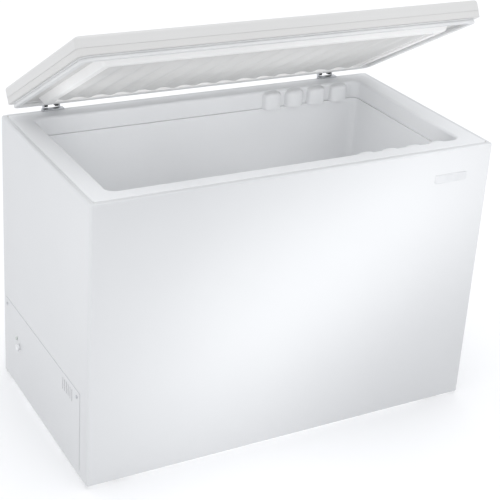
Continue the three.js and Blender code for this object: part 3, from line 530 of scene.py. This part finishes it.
def cabinet_wrapper():
    """Steel round the front and sides: turned in at the bottom, rolled at the top, open for the cover."""
    levels = [(9, STEEL_LOW + 0.5), (1.2, STEEL_LOW + 0.1), (0.35, STEEL_LOW + 0.3), (0, STEEL_LOW + 1.2)]
    levels += [(0, DOOR_Z[0]), (0, DOOR_Z[1]), (0, 500)]
    roll = arc(ROLL_R, STEEL_TOP - ROLL_R, ROLL_R, pi, -pi / 2, 8)
    levels += [(inset, z) for inset, z in roll] + [(FLANGE, STEEL_TOP)]
    form = Form().loft([wrapper_path(*level) for level in levels], closed=False)

    def in_door(face):
        centre = sum((Vector(form.points[i]) for i in face), Vector()) / len(face)
        inside = DOOR_Y[0] < centre.y < DOOR_Y[1] and DOOR_Z[0] < centre.z < DOOR_Z[1]
        return inside and centre.x < 0
    form.faces = [face for face in form.faces if not in_door(face)]
    piece("cabinet_steel", form, "cabinet", "white_paint", ["cabinet_wrapper"], sheet=SHEET, outward=False)


def on_back(y, at=(0.0, 0.0), size=1.0, depth=1.0):
    """Places a form drawn in (x, z) round a point, with its outer face towards +Y from y."""
    return lambda u, v, w: (at[0] + u * size, y + w * depth, at[1] + v * size)


def bead(u0, u1, v, half, proud):
    """A long pressed rib of a sheet, standing on w=0."""
    rings = []
    for inset, w in ((0, -0.1), (1.2, 0.12 * proud), (3.2, 0.6 * proud), (5.2, 0.92 * proud), (7.5, proud)):
        outline = loop2d(u0 + inset, u1 - inset, v - half + inset, v + half - inset, half, 10)
        rings.append([(a, b, w) for a, b in outline])
    return Form().loft(rings, cap_high=True)


def screw_holes(places):
    return [circle2d(u, v, SCREW_HOLE_R) for u, v in places]


def back_panel():
    """The back sheet with its bay opening, two beads and a lip folded over the cabinet's top."""
    half_w, neck = 550.0, 543.7
    low, shoulder, fold_z = 30.0, 751.0, 756.8
    right = [(half_w, low), (half_w, shoulder), (neck, shoulder), (neck, fold_z)]
    outline = [(-half_w, low)] + right + [(-u, v) for u, v in reversed(right[1:])]
    opening = loop2d(-540, -312, 66, 236, 4)
    holes = [opening, circle2d(*CAP_AT, 9)] + screw_holes(GRILLE_SCREWS)
    sheet = punched(outline, holes, 0, SHEET)
    for z in (300.0, 500.0):
        sheet.join(bead(-240, 498, z, 10, 1.3).placed(lambda u, v, w: (u, v, w + SHEET)))
    sheet.placed(on_back(BACK_Y))
    fold = arc(298.6, 756.7, 2.3, 0, pi / 2, 6) + [(289, 759.0)]
    rings = [[(-neck, y, z), (neck, y, z)] for y, z in fold]
    lip = Form().loft([[ring[1], ring[0]] for ring in rings], closed=False)
    sheet.join(lip)
    piece("back_sheet", sheet, "cabinet", "white_paint", ["back_panel"], sharp=30, outward=False)


def rating_plate():
    """A blank plate on the back sheet."""
    form = Form().slab(loop2d(330, 430, 180, 240, 3), 0, 0.25).placed(on_back(301.0))
    piece("blank_label", form, "cabinet", "rim_plastic", bevel=0.08)


# ---- Rim -------------------------------------------------------------------------------

def column_reach(x, z):
    """How far the nearest column stands out of the collar wall, well below zero where none does."""
    beside = -6.0
    if z >= COLUMN_TOP:
        return beside
    dome, dome_power, side_power = 14.0, 2.6, 2.4
    up = max(0.0, (z - (COLUMN_TOP - dome)) / dome)
    size = (1 - up ** dome_power) ** (1 / dome_power)
    u = min(abs(x - c) for c in COLUMN_X) / COLUMN_HALF_W
    inside = size ** side_power - u ** side_power
    return COLUMN_OUT * inside ** (1 / side_power) if inside > 0 else beside


def softest(a, b, k):
    """The larger of two heights, with a fillet of about k where they meet."""
    h = max(k - abs(a - b), 0.0) / k
    return max(a, b) + h * h * k / 4


def column_samples():
    """Where the collar's long sides have points: close together over the columns."""
    first, last = COLUMN_ZONE[0] + 6, COLUMN_ZONE[1] - 6
    step = 1.5
    count = round((last - first) / step)
    plain = [-400.0, -250.0, -100.0, 50.0, 140.0, first - 4]
    return plain + [first + step * i for i in range(count + 1)]


def rim_ring(offset, z, along):
    """A ring of the collar at an offset from its corner centres, pushed in where columns stand."""
    ring = rounded(CORE.x + offset, CORE.y + offset, offset, z, along=along, steps=12)
    wall = CORE.y + MOUTH_R
    shaped = []
    for x, y, height in ring:
        if abs(abs(y) - (CORE.y + offset)) < 1e-6 and COLUMN_ZONE[0] < x < COLUMN_ZONE[1]:
            out = softest(wall - abs(y), column_reach(x, z), 3.0)
            y = (wall - out) * (1 if y > 0 else -1)
        shaped.append((x, y, height))
    return shaped


def breaker_frame():
    """The plastic frame round the mouth: a flat top, a rounded inner edge and the collar below it."""
    along = column_samples()

    def flat_ring(hx, hy, r, z):
        return rounded(hx, hy, r, z, along=along, steps=12)
    outside = Vector((545.7, 288.7))
    corner_r, edge_r = 7.0, 8.0
    top = [
        flat_ring(outside.x - inset, outside.y - inset, corner_r - inset, z)
        for inset, z in ((0, 757), (0, 758.7), (0.4, 759.6), (1.3, RIM_TOP))
    ]
    top.append(flat_ring(520, 270, 16, RIM_TOP))
    levels = arc(MOUTH_R + edge_r, RIM_TOP - edge_r, edge_r, pi / 2, pi / 2, 12)
    levels += [(MOUTH_R, z) for z in (751, 749.5, 747.5, 745, 742, 735, 725, 715, COLLAR_LOW + 1.2)]
    levels += [(MOUTH_R + 0.4, COLLAR_LOW + 0.3), (MOUTH_R + 1.2, COLLAR_LOW), (MOUTH_R + 3, COLLAR_LOW)]
    under = [flat_ring(CORE.x + 25, CORE.y + 25, 25, 748), flat_ring(CORE.x + 40, CORE.y + 34, 30, 757)]
    form = Form().loft(top + [rim_ring(r, z, along) for r, z in levels] + under, loop=True)
    piece("rim_moulding", form, "cabinet", "rim_plastic", ["breaker_frame"], sharp=50)


# ---- Tank ------------------------------------------------------------------------------

def cut_away(obj, form):
    """Takes the form's solid out of the object's mesh."""
    cutter = piece("cutter", form, "cabinet", "tank_white")
    cut = obj.modifiers.new("cut", "BOOLEAN")
    cut.operation = "DIFFERENCE"
    cut.solver = "EXACT"
    cut.object = cutter
    bake(obj)
    bpy.data.objects.remove(cutter)


def liner():
    """The tank's inside as a solid, stepped over the compressor bay, turned into a thin shell."""
    hx, hy = CORE.x + TANK_R, CORE.y + TANK_R
    rings = [rounded(hx, hy, TANK_R, z) for z in (TANK_FLOOR, TANK_TOP)]
    body = Form().loft(rings, cap_low=True, cap_high=True)
    step = Form().box(-600, STEP_X, -400, 400, 0, STEP_Z)
    tank = piece("tank_shell", body, "cabinet", "tank_white", ["liner"])
    tank.modifiers.clear()
    cut_away(tank, step)
    bm = bmesh.new()
    bm.from_mesh(tank.data)
    top = [f for f in bm.faces if f.calc_center_median().z > (TANK_TOP - 0.7) * MM]
    bmesh.ops.delete(bm, geom=top, context="FACES")

    def on_nose(vert):
        return abs(vert.co.x - STEP_X * MM) < 0.5 * MM and abs(vert.co.z - STEP_Z * MM) < 0.5 * MM
    sharp = [e for e in bm.edges if len(e.link_faces) == 2 and e.calc_face_angle(0) > radians(40)]
    inner = [e for e in sharp if not all(on_nose(v) for v in e.verts)]
    fillet = 12.0
    bmesh.ops.bevel(
        bm, geom=inner, offset=fillet * MM, segments=6, profile=0.5, affect="EDGES", clamp_overlap=True
    )
    bmesh.ops.reverse_faces(bm, faces=bm.faces)
    bm.to_mesh(tank.data)
    bm.free()
    wall = tank.modifiers.new("wall", "SOLIDIFY")
    wall.thickness = TANK_WALL * MM
    wall.offset = -1
    bake(tank)
    cut_away(tank, Form().slab(circle2d(*DRAIN_AT, 5.6), TANK_FLOOR - 8, TANK_FLOOR + 8))
    shade(tank.data, 40)
    keep_flats(tank)


def tank_flange():
    """The tank's edge, turned outwards under the collar."""
    inner_r, outer_r = TANK_R + TANK_WALL, 33.0
    high, low = TANK_TOP, TANK_TOP - TANK_WALL
    rings = [
        rounded(CORE.x + r, CORE.y + r, r, z)
        for r, z in ((inner_r, high), (inner_r, low), (outer_r, low), (outer_r, high))
    ]
    piece("tank_flange", Form().loft(rings, loop=True), "cabinet", "tank_white")


# ---- Lid -------------------------------------------------------------------------------

def lid_ring(inset, z):
    """A ring inside the lid's outline."""
    r = max(LID_CORNER_R - inset, 5.0)
    return rounded(LID_HALF.x - inset, LID_HALF.y - inset, r, z, cy=LID_Y, steps=10)


def lid_skin():
    """The steel cover, its edge turned in at the bottom and its top very slightly crowned."""
    edge_r = 8.0
    levels = [(8, 796), (0.8, 796), (0.8, SKIN_LOW + 0.4), (0.5, SKIN_LOW), (0.2, SKIN_LOW + 0.1)]
    levels += [(0, SKIN_LOW + 0.6), (0, 800)]
    levels += arc(edge_r, LID_TOP - edge_r, edge_r, pi, -pi / 2, 10)
    levels += [(40, LID_TOP + 0.4), (110, LID_TOP + 0.8), (200, LID_TOP + 1.0)]
    form = Form().loft([lid_ring(*level) for level in levels], cap_high=True)
    piece("lid_steel", form, "lid", "lid_paint", ["lid_skin"], outward=False)


def lid_frame():
    """The plastic surround under the steel: a flat underside and an upright outer face."""
    mouth = [
        rounded(PLUG.x + 20.3, PLUG.y + 20.3, 20, z, steps=10)
        for z in (FRAME_LOW + 3, FRAME_LOW + 0.6, FRAME_LOW)
    ]
    outside = [(2.6, FRAME_LOW), (1.4, FRAME_LOW + 0.4), (0.8, FRAME_LOW + 1.5)]
    outside += [(0.8, FRAME_HIGH - 0.7), (1.0, FRAME_HIGH), (1.0, 794)]
    form = Form().loft(mouth + [lid_ring(*level) for level in outside])
    piece("lid_surround", form, "lid", "lid_edge", ["lid_frame"], outward=False)


def plug_ring(offset, z):
    """A ring at an offset from the plug's corner centres."""
    return rounded(PLUG.x + offset, PLUG.y + offset, max(offset, 8.0), z, steps=10)


def rib_height(x, y):
    """The underside's height: rounded ribs that hang from the field and fade out at their ends."""
    rise = 0.5 - 0.5 * cos(2 * pi * (x + FIELD.x) / RIB_PITCH)
    end = min(max((FIELD.y - 1 - abs(y)) / 9.0, 0.0), 1.0)
    return FIELD_Z - RIB_DEPTH * rise * end * end * (3 - 2 * end)


def lid_inner_panel():
    """The plug in two pieces: the border that rises round it, and the ribbed field inside. Both are one
    plastic: the border is painted lighter (painted highlight) and the field darker (painted shade).
    """
    levels = [
        (24, 777.3), (24, 775.9), (20.6, 775.9), (20, 775.2), (19.6, 773), (9.7, 758.4), (9.0, 756.9),
        (7.8, 755.7), (6.2, 755.1), (4.6, PLUG_LOW), (-9.8, PLUG_LOW), (-11.2, 755.3), (-12.2, 756.2),
        (-12.7, 757.6), (-13.1, 759.2), (-13.9, 760.5), (-15.4, FIELD_Z + 0.15),
    ]
    border = Form().loft([plug_ring(*level) for level in reversed(levels)])
    piece("lid_plug_border", border, "lid", "plug_white_painted_highlight", ["lid_inner_panel"], sharp=60, outward=False)
    points_per_rib = 20
    xs = [-FIELD.x + RIB_PITCH * i / points_per_rib for i in range(RIBS * points_per_rib + 1)]
    side = [FIELD.y - d for d in (0, 1, 2.5, 4, 5.5, 7, 8.5, 10, 11.5)]
    ys = [-y for y in side] + [-120.0, -40.0, 40.0, 120.0] + list(reversed(side))
    field = Form().grid(xs, ys, rib_height)
    piece("lid_underside", field, "lid", "lid_plastic", ["lid_inner_panel"], sharp=60, outward=False)


def lid_gasket():
    """A pleated seal; its profile is mirrored about its own middle."""
    centre = Vector((516.0, 247.0))
    middle = 16.5
    outer = [
        (24.0, 772.2), (24.0, 770.9), (22.9, 770.2), (21.7, 769.5), (21.5, 769.0), (22.2, 768.3),
        (23.8, 767.4), (24.2, 766.2), (24.2, 762.4), (23.8, 761.2), (22.8, 760.55),
    ]
    profile = outer + [(2 * middle - r, z) for r, z in reversed(outer)]
    rings = [rounded(centre.x + r, centre.y + r, r, z, cy=LID_Y, steps=10) for r, z in profile]
    form = Form().loft(rings, loop=True)
    piece("gasket_bellows", form, "lid", "gasket_vinyl", ["lid_gasket"], sharp=60)


# ---- Covers, controls and fastenings ---------------------------------------------------

def on_left(x, at=(0.0, 0.0)):
    """Places a form drawn in (y, z) round a point, with its outer face towards -X from x."""
    return lambda u, v, w: (x - w, at[0] + u, at[1] + v)


def service_cover():
    """The plate over the bay's side opening, with upright slots and holes for the controls."""
    slot_w, slot_pitch, first_slot = 2.4, 12.0, -205.2
    starts = [first_slot + slot_pitch * i for i in range(6)]
    slots = [loop2d(start, start + slot_w, 198, 232, 1.1) for start in starts]
    holes = [circle2d(*KNOB_AT, 6), circle2d(*LAMP_AT, 4.6)] + screw_holes(COVER_SCREWS)
    form = punched(loop2d(-254, 286, 24, 246, 6, 8), slots + holes, -0.25, SHEET, 0.3)
    form.placed(on_left(COVER_X))
    piece("service_plate", form, "cabinet", "white_paint", ["service_cover"], sharp=30, outward=False)


def louvre(u0, u1, v, height, proud):
    """A pressed hood over a slot, open below."""
    quarter = [(pi / 2) * i / 6 for i in range(7)]
    us = [u0 + (u1 - u0) * t for t in (0, 0.03, 0.08, 0.5, 0.92, 0.97, 1)]
    lift = (0.0, 0.6, 1.0, 1.0, 1.0, 0.6, 0.0)
    rings = [[(u, v + height * cos(a), proud * sin(a) * k) for u, k in zip(us, lift)] for a in quarter]
    return Form().loft(rings, closed=False)


def rear_vent_cover():
    """The bay's rear plate: two columns of seven hooded slots."""
    slot_w, slot_h = 92.0, 6.0
    slots, hoods = [], Form()
    for column in range(2):
        for row in range(7):
            u, v = -526 + 105 * column, 112 + 17 * row
            slots.append(loop2d(u, u + slot_w, v, v + slot_h, 1.5))
            hoods.join(louvre(u - 1, u + slot_w + 1, v + 1, slot_h + 0.5, 3.2))
    holes = [circle2d(*CORD_AT, 8.3)] + screw_holes(GRILLE_SCREWS)
    form = punched(loop2d(-556, -296, 60, 246, 6, 8), slots + holes, 0, SHEET)
    hoods.placed(lambda u, v, w: (u, v, w + SHEET))
    form.join(hoods).placed(on_back(GRILLE_Y))
    piece("rear_grille", form, "cabinet", "white_paint", ["rear_vent_cover"], sharp=30, outward=False)


def screw_form(place):
    """A pan head with a cross recess, drawn on w=0 with its head towards +w."""
    count, recess_r, arm_share = 32, 1.5, 0.38
    head = [(4.4, 0.0), (4.4, 0.9), (4.0, 1.5), (3.2, 1.95), (2.2, 2.15), (recess_r, 2.2)]
    rings = [turned_ring(lambda a: r, w, count) for r, w in head]

    def cross(a):
        arm, other = max(abs(cos(a)), abs(sin(a))), min(abs(cos(a)), abs(sin(a)))
        if other <= arm_share * arm + 1e-9:
            return recess_r
        return min(recess_r, arm_share * recess_r / other)
    edge = turned_ring(cross, 2.18, count)
    floor = [(x * 0.45, y * 0.45, 1.1) for x, y, _ in edge]
    form = Form().loft(rings).loft([rings[-1], edge, floor], cap_high=True)
    return form.placed(place)


def fastenings():
    """Screws in the covers, and smaller, flatter ones in the hinges' leaves and bases."""
    for number, at in enumerate(COVER_SCREWS, 1):
        form = screw_form(on_left(FITTING_X, at))
        piece(f"side_screw_{number}", form, "cabinet", "zinc", [f"service_cover_screw_{number}"], sharp=50)
    for number, at in enumerate(GRILLE_SCREWS, 1):
        form = screw_form(on_back(GRILLE_Y + 1.1, at))
        piece(f"grille_screw_{number}", form, "cabinet", "zinc", [f"rear_cover_screw_{number}"], sharp=50)
    hinge_screws = (("leaf", "lid", 9, 797, 282.3), ("base", "cabinet", 13, 745, 304.3))
    for side, x in (("left", -HINGE_X), ("right", HINGE_X)):
        for part, body, apart, z, face_y in hinge_screws:
            for number, dx in enumerate((-apart, apart), 1):
                form = screw_form(on_back(face_y, (x + dx, z), size=0.8, depth=0.7))
                piece(f"{part}_screw_{side}_{number}", form, body, "zinc", sharp=50)


def thermostat_knob():
    """A ridged knob with a pointer on its face."""
    steps = (
        (8.2, 0, 0), (8.8, 0.4, 0.6), (9, 1.2, 1), (9, 5.6, 1), (8.7, 6.4, 0.8), (8.0, 6.9, 0.2),
        (7.2, 7.0, 0),
    )
    rings = ridged_rings(steps, depth=0.35)
    face = [(x * 0.5, y * 0.5, 6.9) for x, y, _ in rings[-1]]
    form = Form().loft(rings + [face], cap_low=True, cap_high=True).placed(on_left(FITTING_X, KNOB_AT))
    pointer = Form().box(-1.0, 1.0, 1.5, 7.6, 6.8, 7.35).placed(on_left(FITTING_X, KNOB_AT))
    piece("dial_knob", form, "thermostat_dial", "rim_plastic", ["thermostat_knob"], sharp=45)
    piece("dial_pointer", pointer, "thermostat_dial", "gasket_vinyl", bevel=0.15)


def pilot_lamp():
    """A domed lens with its shank behind the cover."""
    dome = [(0, -3.3), (1.6, -3.2), (3.2, -2.8), (4.4, -2.0), (5, -1.0), (5, 0)]
    shank = [(4.2, 0), (4.2, 22), (0, 22)]
    form = Form().lathe(dome + shank, "x", (FITTING_X, *LAMP_AT))
    piece("pilot_lens", form, "cabinet", "lamp_lens", ["pilot_lamp"], sharp=50)


def badge():
    """A blank plate in low relief with a raised border."""
    def outline(inset):
        return loop2d(384 + inset, 484 - inset, 668 + inset, 692 - inset, 5 - min(inset, 4), 8)
    seat_y = -CABINET.y - 0.3
    levels = ((0, -0.2), (0, 0.35), (0.3, 0.6), (0.8, 0.7), (1.4, 0.66), (2.0, 0.45), (3.2, 0.4))
    rings = [[(u, seat_y - w, v) for u, v in outline(inset)] for inset, w in levels]
    form = Form().loft(rings, cap_low=True, cap_high=True)
    piece("blank_badge", form, "cabinet", "badge_satin", ["badge"], sharp=55)


def feet():
    """Four round pads on their studs."""
    pad = [
        (0, 0), (14.6, 0), (15.8, 0.5), (17.2, 2), (18, 3.4), (17.9, 5), (17.2, 10.5), (16.6, 11.5),
        (15.8, 11.7), (0, 11.7),
    ]
    stud = [(0, 11.6), (3.8, 11.6), (3.8, 19.4), (3.2, 20), (0, 20)]
    for side_x, x in (("left", -471), ("right", 471)):
        for side_y, y in (("front", -262), ("rear", 278)):
            form = Form().lathe(pad, "z", (x, y, 0), 36).lathe(stud, "z", (x, y, 0), 20)
            name = f"foot_{side_y}_{side_x}"
            piece(f"levelling_{name}", form, "cabinet", "black_plastic", [name], sharp=50)


def tank_plug():
    """A flanged plug in the tank's drain, with a waisted grip."""
    stem = [(0, -9), (4.2, -9), (4.8, -8.4), (5.4, 0)]
    flange = [(12.4, 0.3), (13.7, 0.8), (14, 1.6), (13.6, 2.4), (12.6, 2.9)]
    grip = [
        (6.4, 3.6), (5.2, 4.6), (5, 6), (5, 8.6), (6.2, 9.8), (7.6, 10.6), (8, 11.4), (7.6, 12.5),
        (6.6, 13), (0, 13),
    ]
    plug = Form().lathe(stem + flange + grip, "z", (*DRAIN_AT, TANK_FLOOR))
    piece("tank_plug", plug, "drain_plug", "rim_plastic", ["drain_plug"], sharp=50)


def rear_drain_cap():
    """A ridged cap with a dished face, on a spigot that goes into the drain tube."""
    seat_y = 302.8
    steps = (
        (12.4, 0, 0), (13, 0.6, 1), (13, 8.4, 1), (12.6, 9.4, 0.5), (11.6, 10, 0), (6, 10, 0),
        (5, 9.4, 0),
    )
    rings = ridged_rings(steps, depth=0.4)
    spigot = [(0, -8), (5, -8), (5.6, -7), (5.6, 0.2), (0, 0.2)]
    cap = Form().loft(rings, cap_low=True, cap_high=True).placed(on_back(seat_y, CAP_AT))
    cap.lathe(spigot, "y", (CAP_AT[0], seat_y, CAP_AT[1]), 24)
    piece("rear_drain_cap", cap, "drain_cap", "rim_plastic", ["drain_cap"], sharp=50)


def bearing_blocks():
    """Plastic blocks that hold the hinge pins, seated on the bases between the ears and the leaf."""
    apart, half_w = 14.4, 4.8
    for side, x in (("left", -HINGE_X), ("right", HINGE_X)):
        for number, middle in enumerate((x - apart, x + apart), 1):
            form = Form().box(middle - half_w, middle + half_w, 305.0, 320.0, 764.0, 783.6)
            piece(
                f"bearing_{side}_{number}", form, "cabinet", "black_plastic",
                [f"hinge_bushing_{side}_{number}"], bevel=2.0, bevel_steps=4,
            )


def cord_gland():
    """A hollow bush clipped into the rear cover."""
    shank = [(8, -6), (8, 1.1)]
    head = [(11.4, 1.1), (12, 1.6), (12, 2.4), (11.2, 4.6), (10.2, 5.6), (7.6, 7.4), (6.6, 8.6), (6, 9)]
    bore = [(4.4, 9), (4, 8.6), (4, -6)]
    form = Form().lathe([bore[-1]] + shank + head + bore, "y", (CORD_AT[0], GRILLE_Y, CORD_AT[1]))
    piece("cord_bush", form, "cabinet", "black_plastic", ["cord_gland"], sharp=50)


# ---- Compressor bay --------------------------------------------------------------------

def compressor():
    """An oval bowl on its mounting plate, and the dome whose rim laps over it."""
    centre = (-430, 20, 0)
    oval = 1.2
    lower = [
        (0, 46), (38, 46), (50, 48.5), (60, 55), (68, 66), (73, 78), (75, 90), (75, 138), (74.2, 139.6),
        (73, 140), (0, 140),
    ]
    bowl = Form().lathe(lower, "z", centre, 64, stretch=oval)
    bowl.slab(loop2d(-506, -354, -86, 126, 12), 47, 50)
    piece("compressor_bowl", bowl, "cabinet", "black_enamel", ["compressor_lower_shell"], sharp=50)
    lap = [(0, 140.3), (78, 140.3), (79, 141.2), (79, 145), (78.2, 146), (76, 146.6), (75, 149)]
    crown = [(75, 174), (73.5, 184), (69, 194), (60, 202), (46, 208), (28, 212), (12, 213.6), (0, 214)]
    dome = Form().lathe(lap + crown, "z", centre, 64, stretch=oval)
    piece("compressor_dome", dome, "cabinet", "black_enamel", ["compressor_upper_shell"], sharp=50)


# ---- Stage -----------------------------------------------------------------------------

def aim(obj, at, target):
    obj.location = at
    obj.rotation_euler = (Vector(target) - Vector(at)).to_track_quat("-Z", "Y").to_euler()


def soft_light(name, at, target, width, height, power, turn=0.0, spread_deg=180.0):
    """A rectangular light that the camera doesn't see; metres, watts and degrees."""
    data = bpy.data.lights.new(name, "AREA")
    data.shape = "RECTANGLE"
    data.size, data.size_y = width, height
    data.energy = power
    data.spread = radians(spread_deg)
    obj = bpy.data.objects.new(name, data)
    obj.visible_camera = False
    bpy.context.scene.collection.objects.link(obj)
    aim(obj, at, target)
    obj.rotation_euler.rotate_axis("Z", radians(turn))


def studio():
    """A pale sky, a wide sun overhead and soft lights in front of, beside and inside the freezer."""
    scene = bpy.context.scene
    world = bpy.data.worlds.new("studio")
    world.use_nodes = True
    sky = world.node_tree.nodes["Background"]
    sky.inputs["Color"].default_value = (0.968, 0.98, 1.0, 1)
    sky.inputs["Strength"].default_value = 0.92
    scene.world = world
    scene.view_settings.view_transform = "Standard"
    soft_light("key", (0.13, -1.15, 0.50), (0.13, -0.3, 0.50), 1.2, 0.2, 0.92, turn=32, spread_deg=66)
    soft_light("side", (-1.25, -0.55, 0.75), (-0.56, -0.20, 0.60), 0.4, 0.4, 0.25, spread_deg=90)
    soft_light("mouth", (0.02, -0.21, 0.782), (0.02, 0.28, 0.776), 0.72, 0.04, 0.62)
    soft_light("brow", (0.0, -1.7, 1.03), (0.0, -0.2, 1.03), 1.0, 0.06, 0.05, spread_deg=24)
    soft_light("ground", (0.0, 0.0, 0.009), (0.0, 0.0, 0.0), 1.1, 0.59, 1.6)
    soft_light("well", (-0.45, 0.0, 0.66), (0.20, 0.0, 0.90), 0.08, 0.38, 0.25)
    soft_light("fill", (0.25, 0.0, 0.45), (0.27, 0.0, 1.0), 0.34, 0.34, 0.15)
    sky_light = bpy.data.lights.new("overhead", "SUN")
    sky_light.energy = 0.75
    sky_light.angle = radians(60)
    overhead = bpy.data.objects.new("overhead", sky_light)
    scene.collection.objects.link(overhead)


def pale_floor():
    """A floor wide enough to fill the view."""
    floor = bpy.data.meshes.new("floor")
    reach = 25.0
    corners = [(-reach, -reach, 0), (reach, -reach, 0), (reach, reach, 0), (-reach, reach, 0)]
    floor.from_pydata(corners, [], [(0, 1, 2, 3)])
    ground = bpy.data.objects.new("floor", floor)
    bpy.context.scene.collection.objects.link(ground)
    floor.materials.append(finish(
        "pale_floor", colour=(0.96, 0.96, 0.965), tint=(0.95, 0.95, 0.955), mottle=0.6, rough=(0.55, 0.65),
        bumps=[(60, 0.1, 0.05, 2)],
    ))


def camera():
    """Looks down on the front left corner from about 3.4 m, rolled by a few degrees."""
    azimuth, elevation, roll = radians(-30.117), radians(23.726), radians(3.855)
    target, distance = Vector((0.0192, 0.0, 0.5560)), 3.4184
    forward = Vector((-sin(azimuth) * cos(elevation), cos(azimuth) * cos(elevation), -sin(elevation)))
    level = Vector((cos(azimuth), sin(azimuth), 0))
    upright = level.cross(forward)
    right = cos(roll) * level + sin(roll) * upright
    up = cos(roll) * upright - sin(roll) * level
    data = bpy.data.cameras.new("camera")
    data.sensor_width = 36
    data.lens = 93.07
    data.shift_y = -0.1
    obj = bpy.data.objects.new("camera", data)
    bpy.context.scene.collection.objects.link(obj)
    place = Matrix((right, up, -forward)).transposed().to_4x4()
    place.translation = target - forward * distance
    obj.matrix_world = place
    bpy.context.scene.camera = obj


# ---- Assembly --------------------------------------------------------------------------

camera()
studio()
pale_floor()

cabinet_wrapper()
back_panel()
rating_plate()
breaker_frame()
liner()
tank_flange()

lid_skin()
lid_frame()
lid_inner_panel()
lid_gasket()

service_cover()
rear_vent_cover()
fastenings()
thermostat_knob()
pilot_lamp()
badge()
feet()
tank_plug()
rear_drain_cap()
cord_gland()
bearing_blocks()
compressor()

# CAD nodes that stay as they are: their finish, their bevel in mm and their names.
for look, bevel, names in (
    ("foam", 0.0, ("cabinet_foam", "lid_foam")),
    ("zinc", 0.0, ("bottom_panel", "thermostat_shaft")),
    ("zinc", 0.3, ("compressor_base_plate", "hinge_pin_left", "hinge_pin_right")),
    ("zinc", 0.4, ("front_base_rail", "rear_base_rail")),
    ("zinc", 0.4, ("hinge_base_left", "hinge_base_right", "hinge_leaf_left", "hinge_leaf_right")),
    ("black_rubber", 0.0, [f"compressor_grommet_{number}" for number in range(1, 5)]),
    ("black_plastic", 0.5, ("thermostat_body",)),
    ("black_plastic", 0.8, ("terminal_cover",)),
    ("copper", 0.0, ("discharge_tube", "condenser_tube", "filter_drier")),
    ("copper", 0.0, ("capillary_tube", "evaporator_tube", "suction_tube")),
    # the drain tube takes the underside's plastic, darkened as painted shade
    ("lid_plastic", 0.0, ("drain_tube",)),
):
    for node in names:
        kept(node, look, bevel)
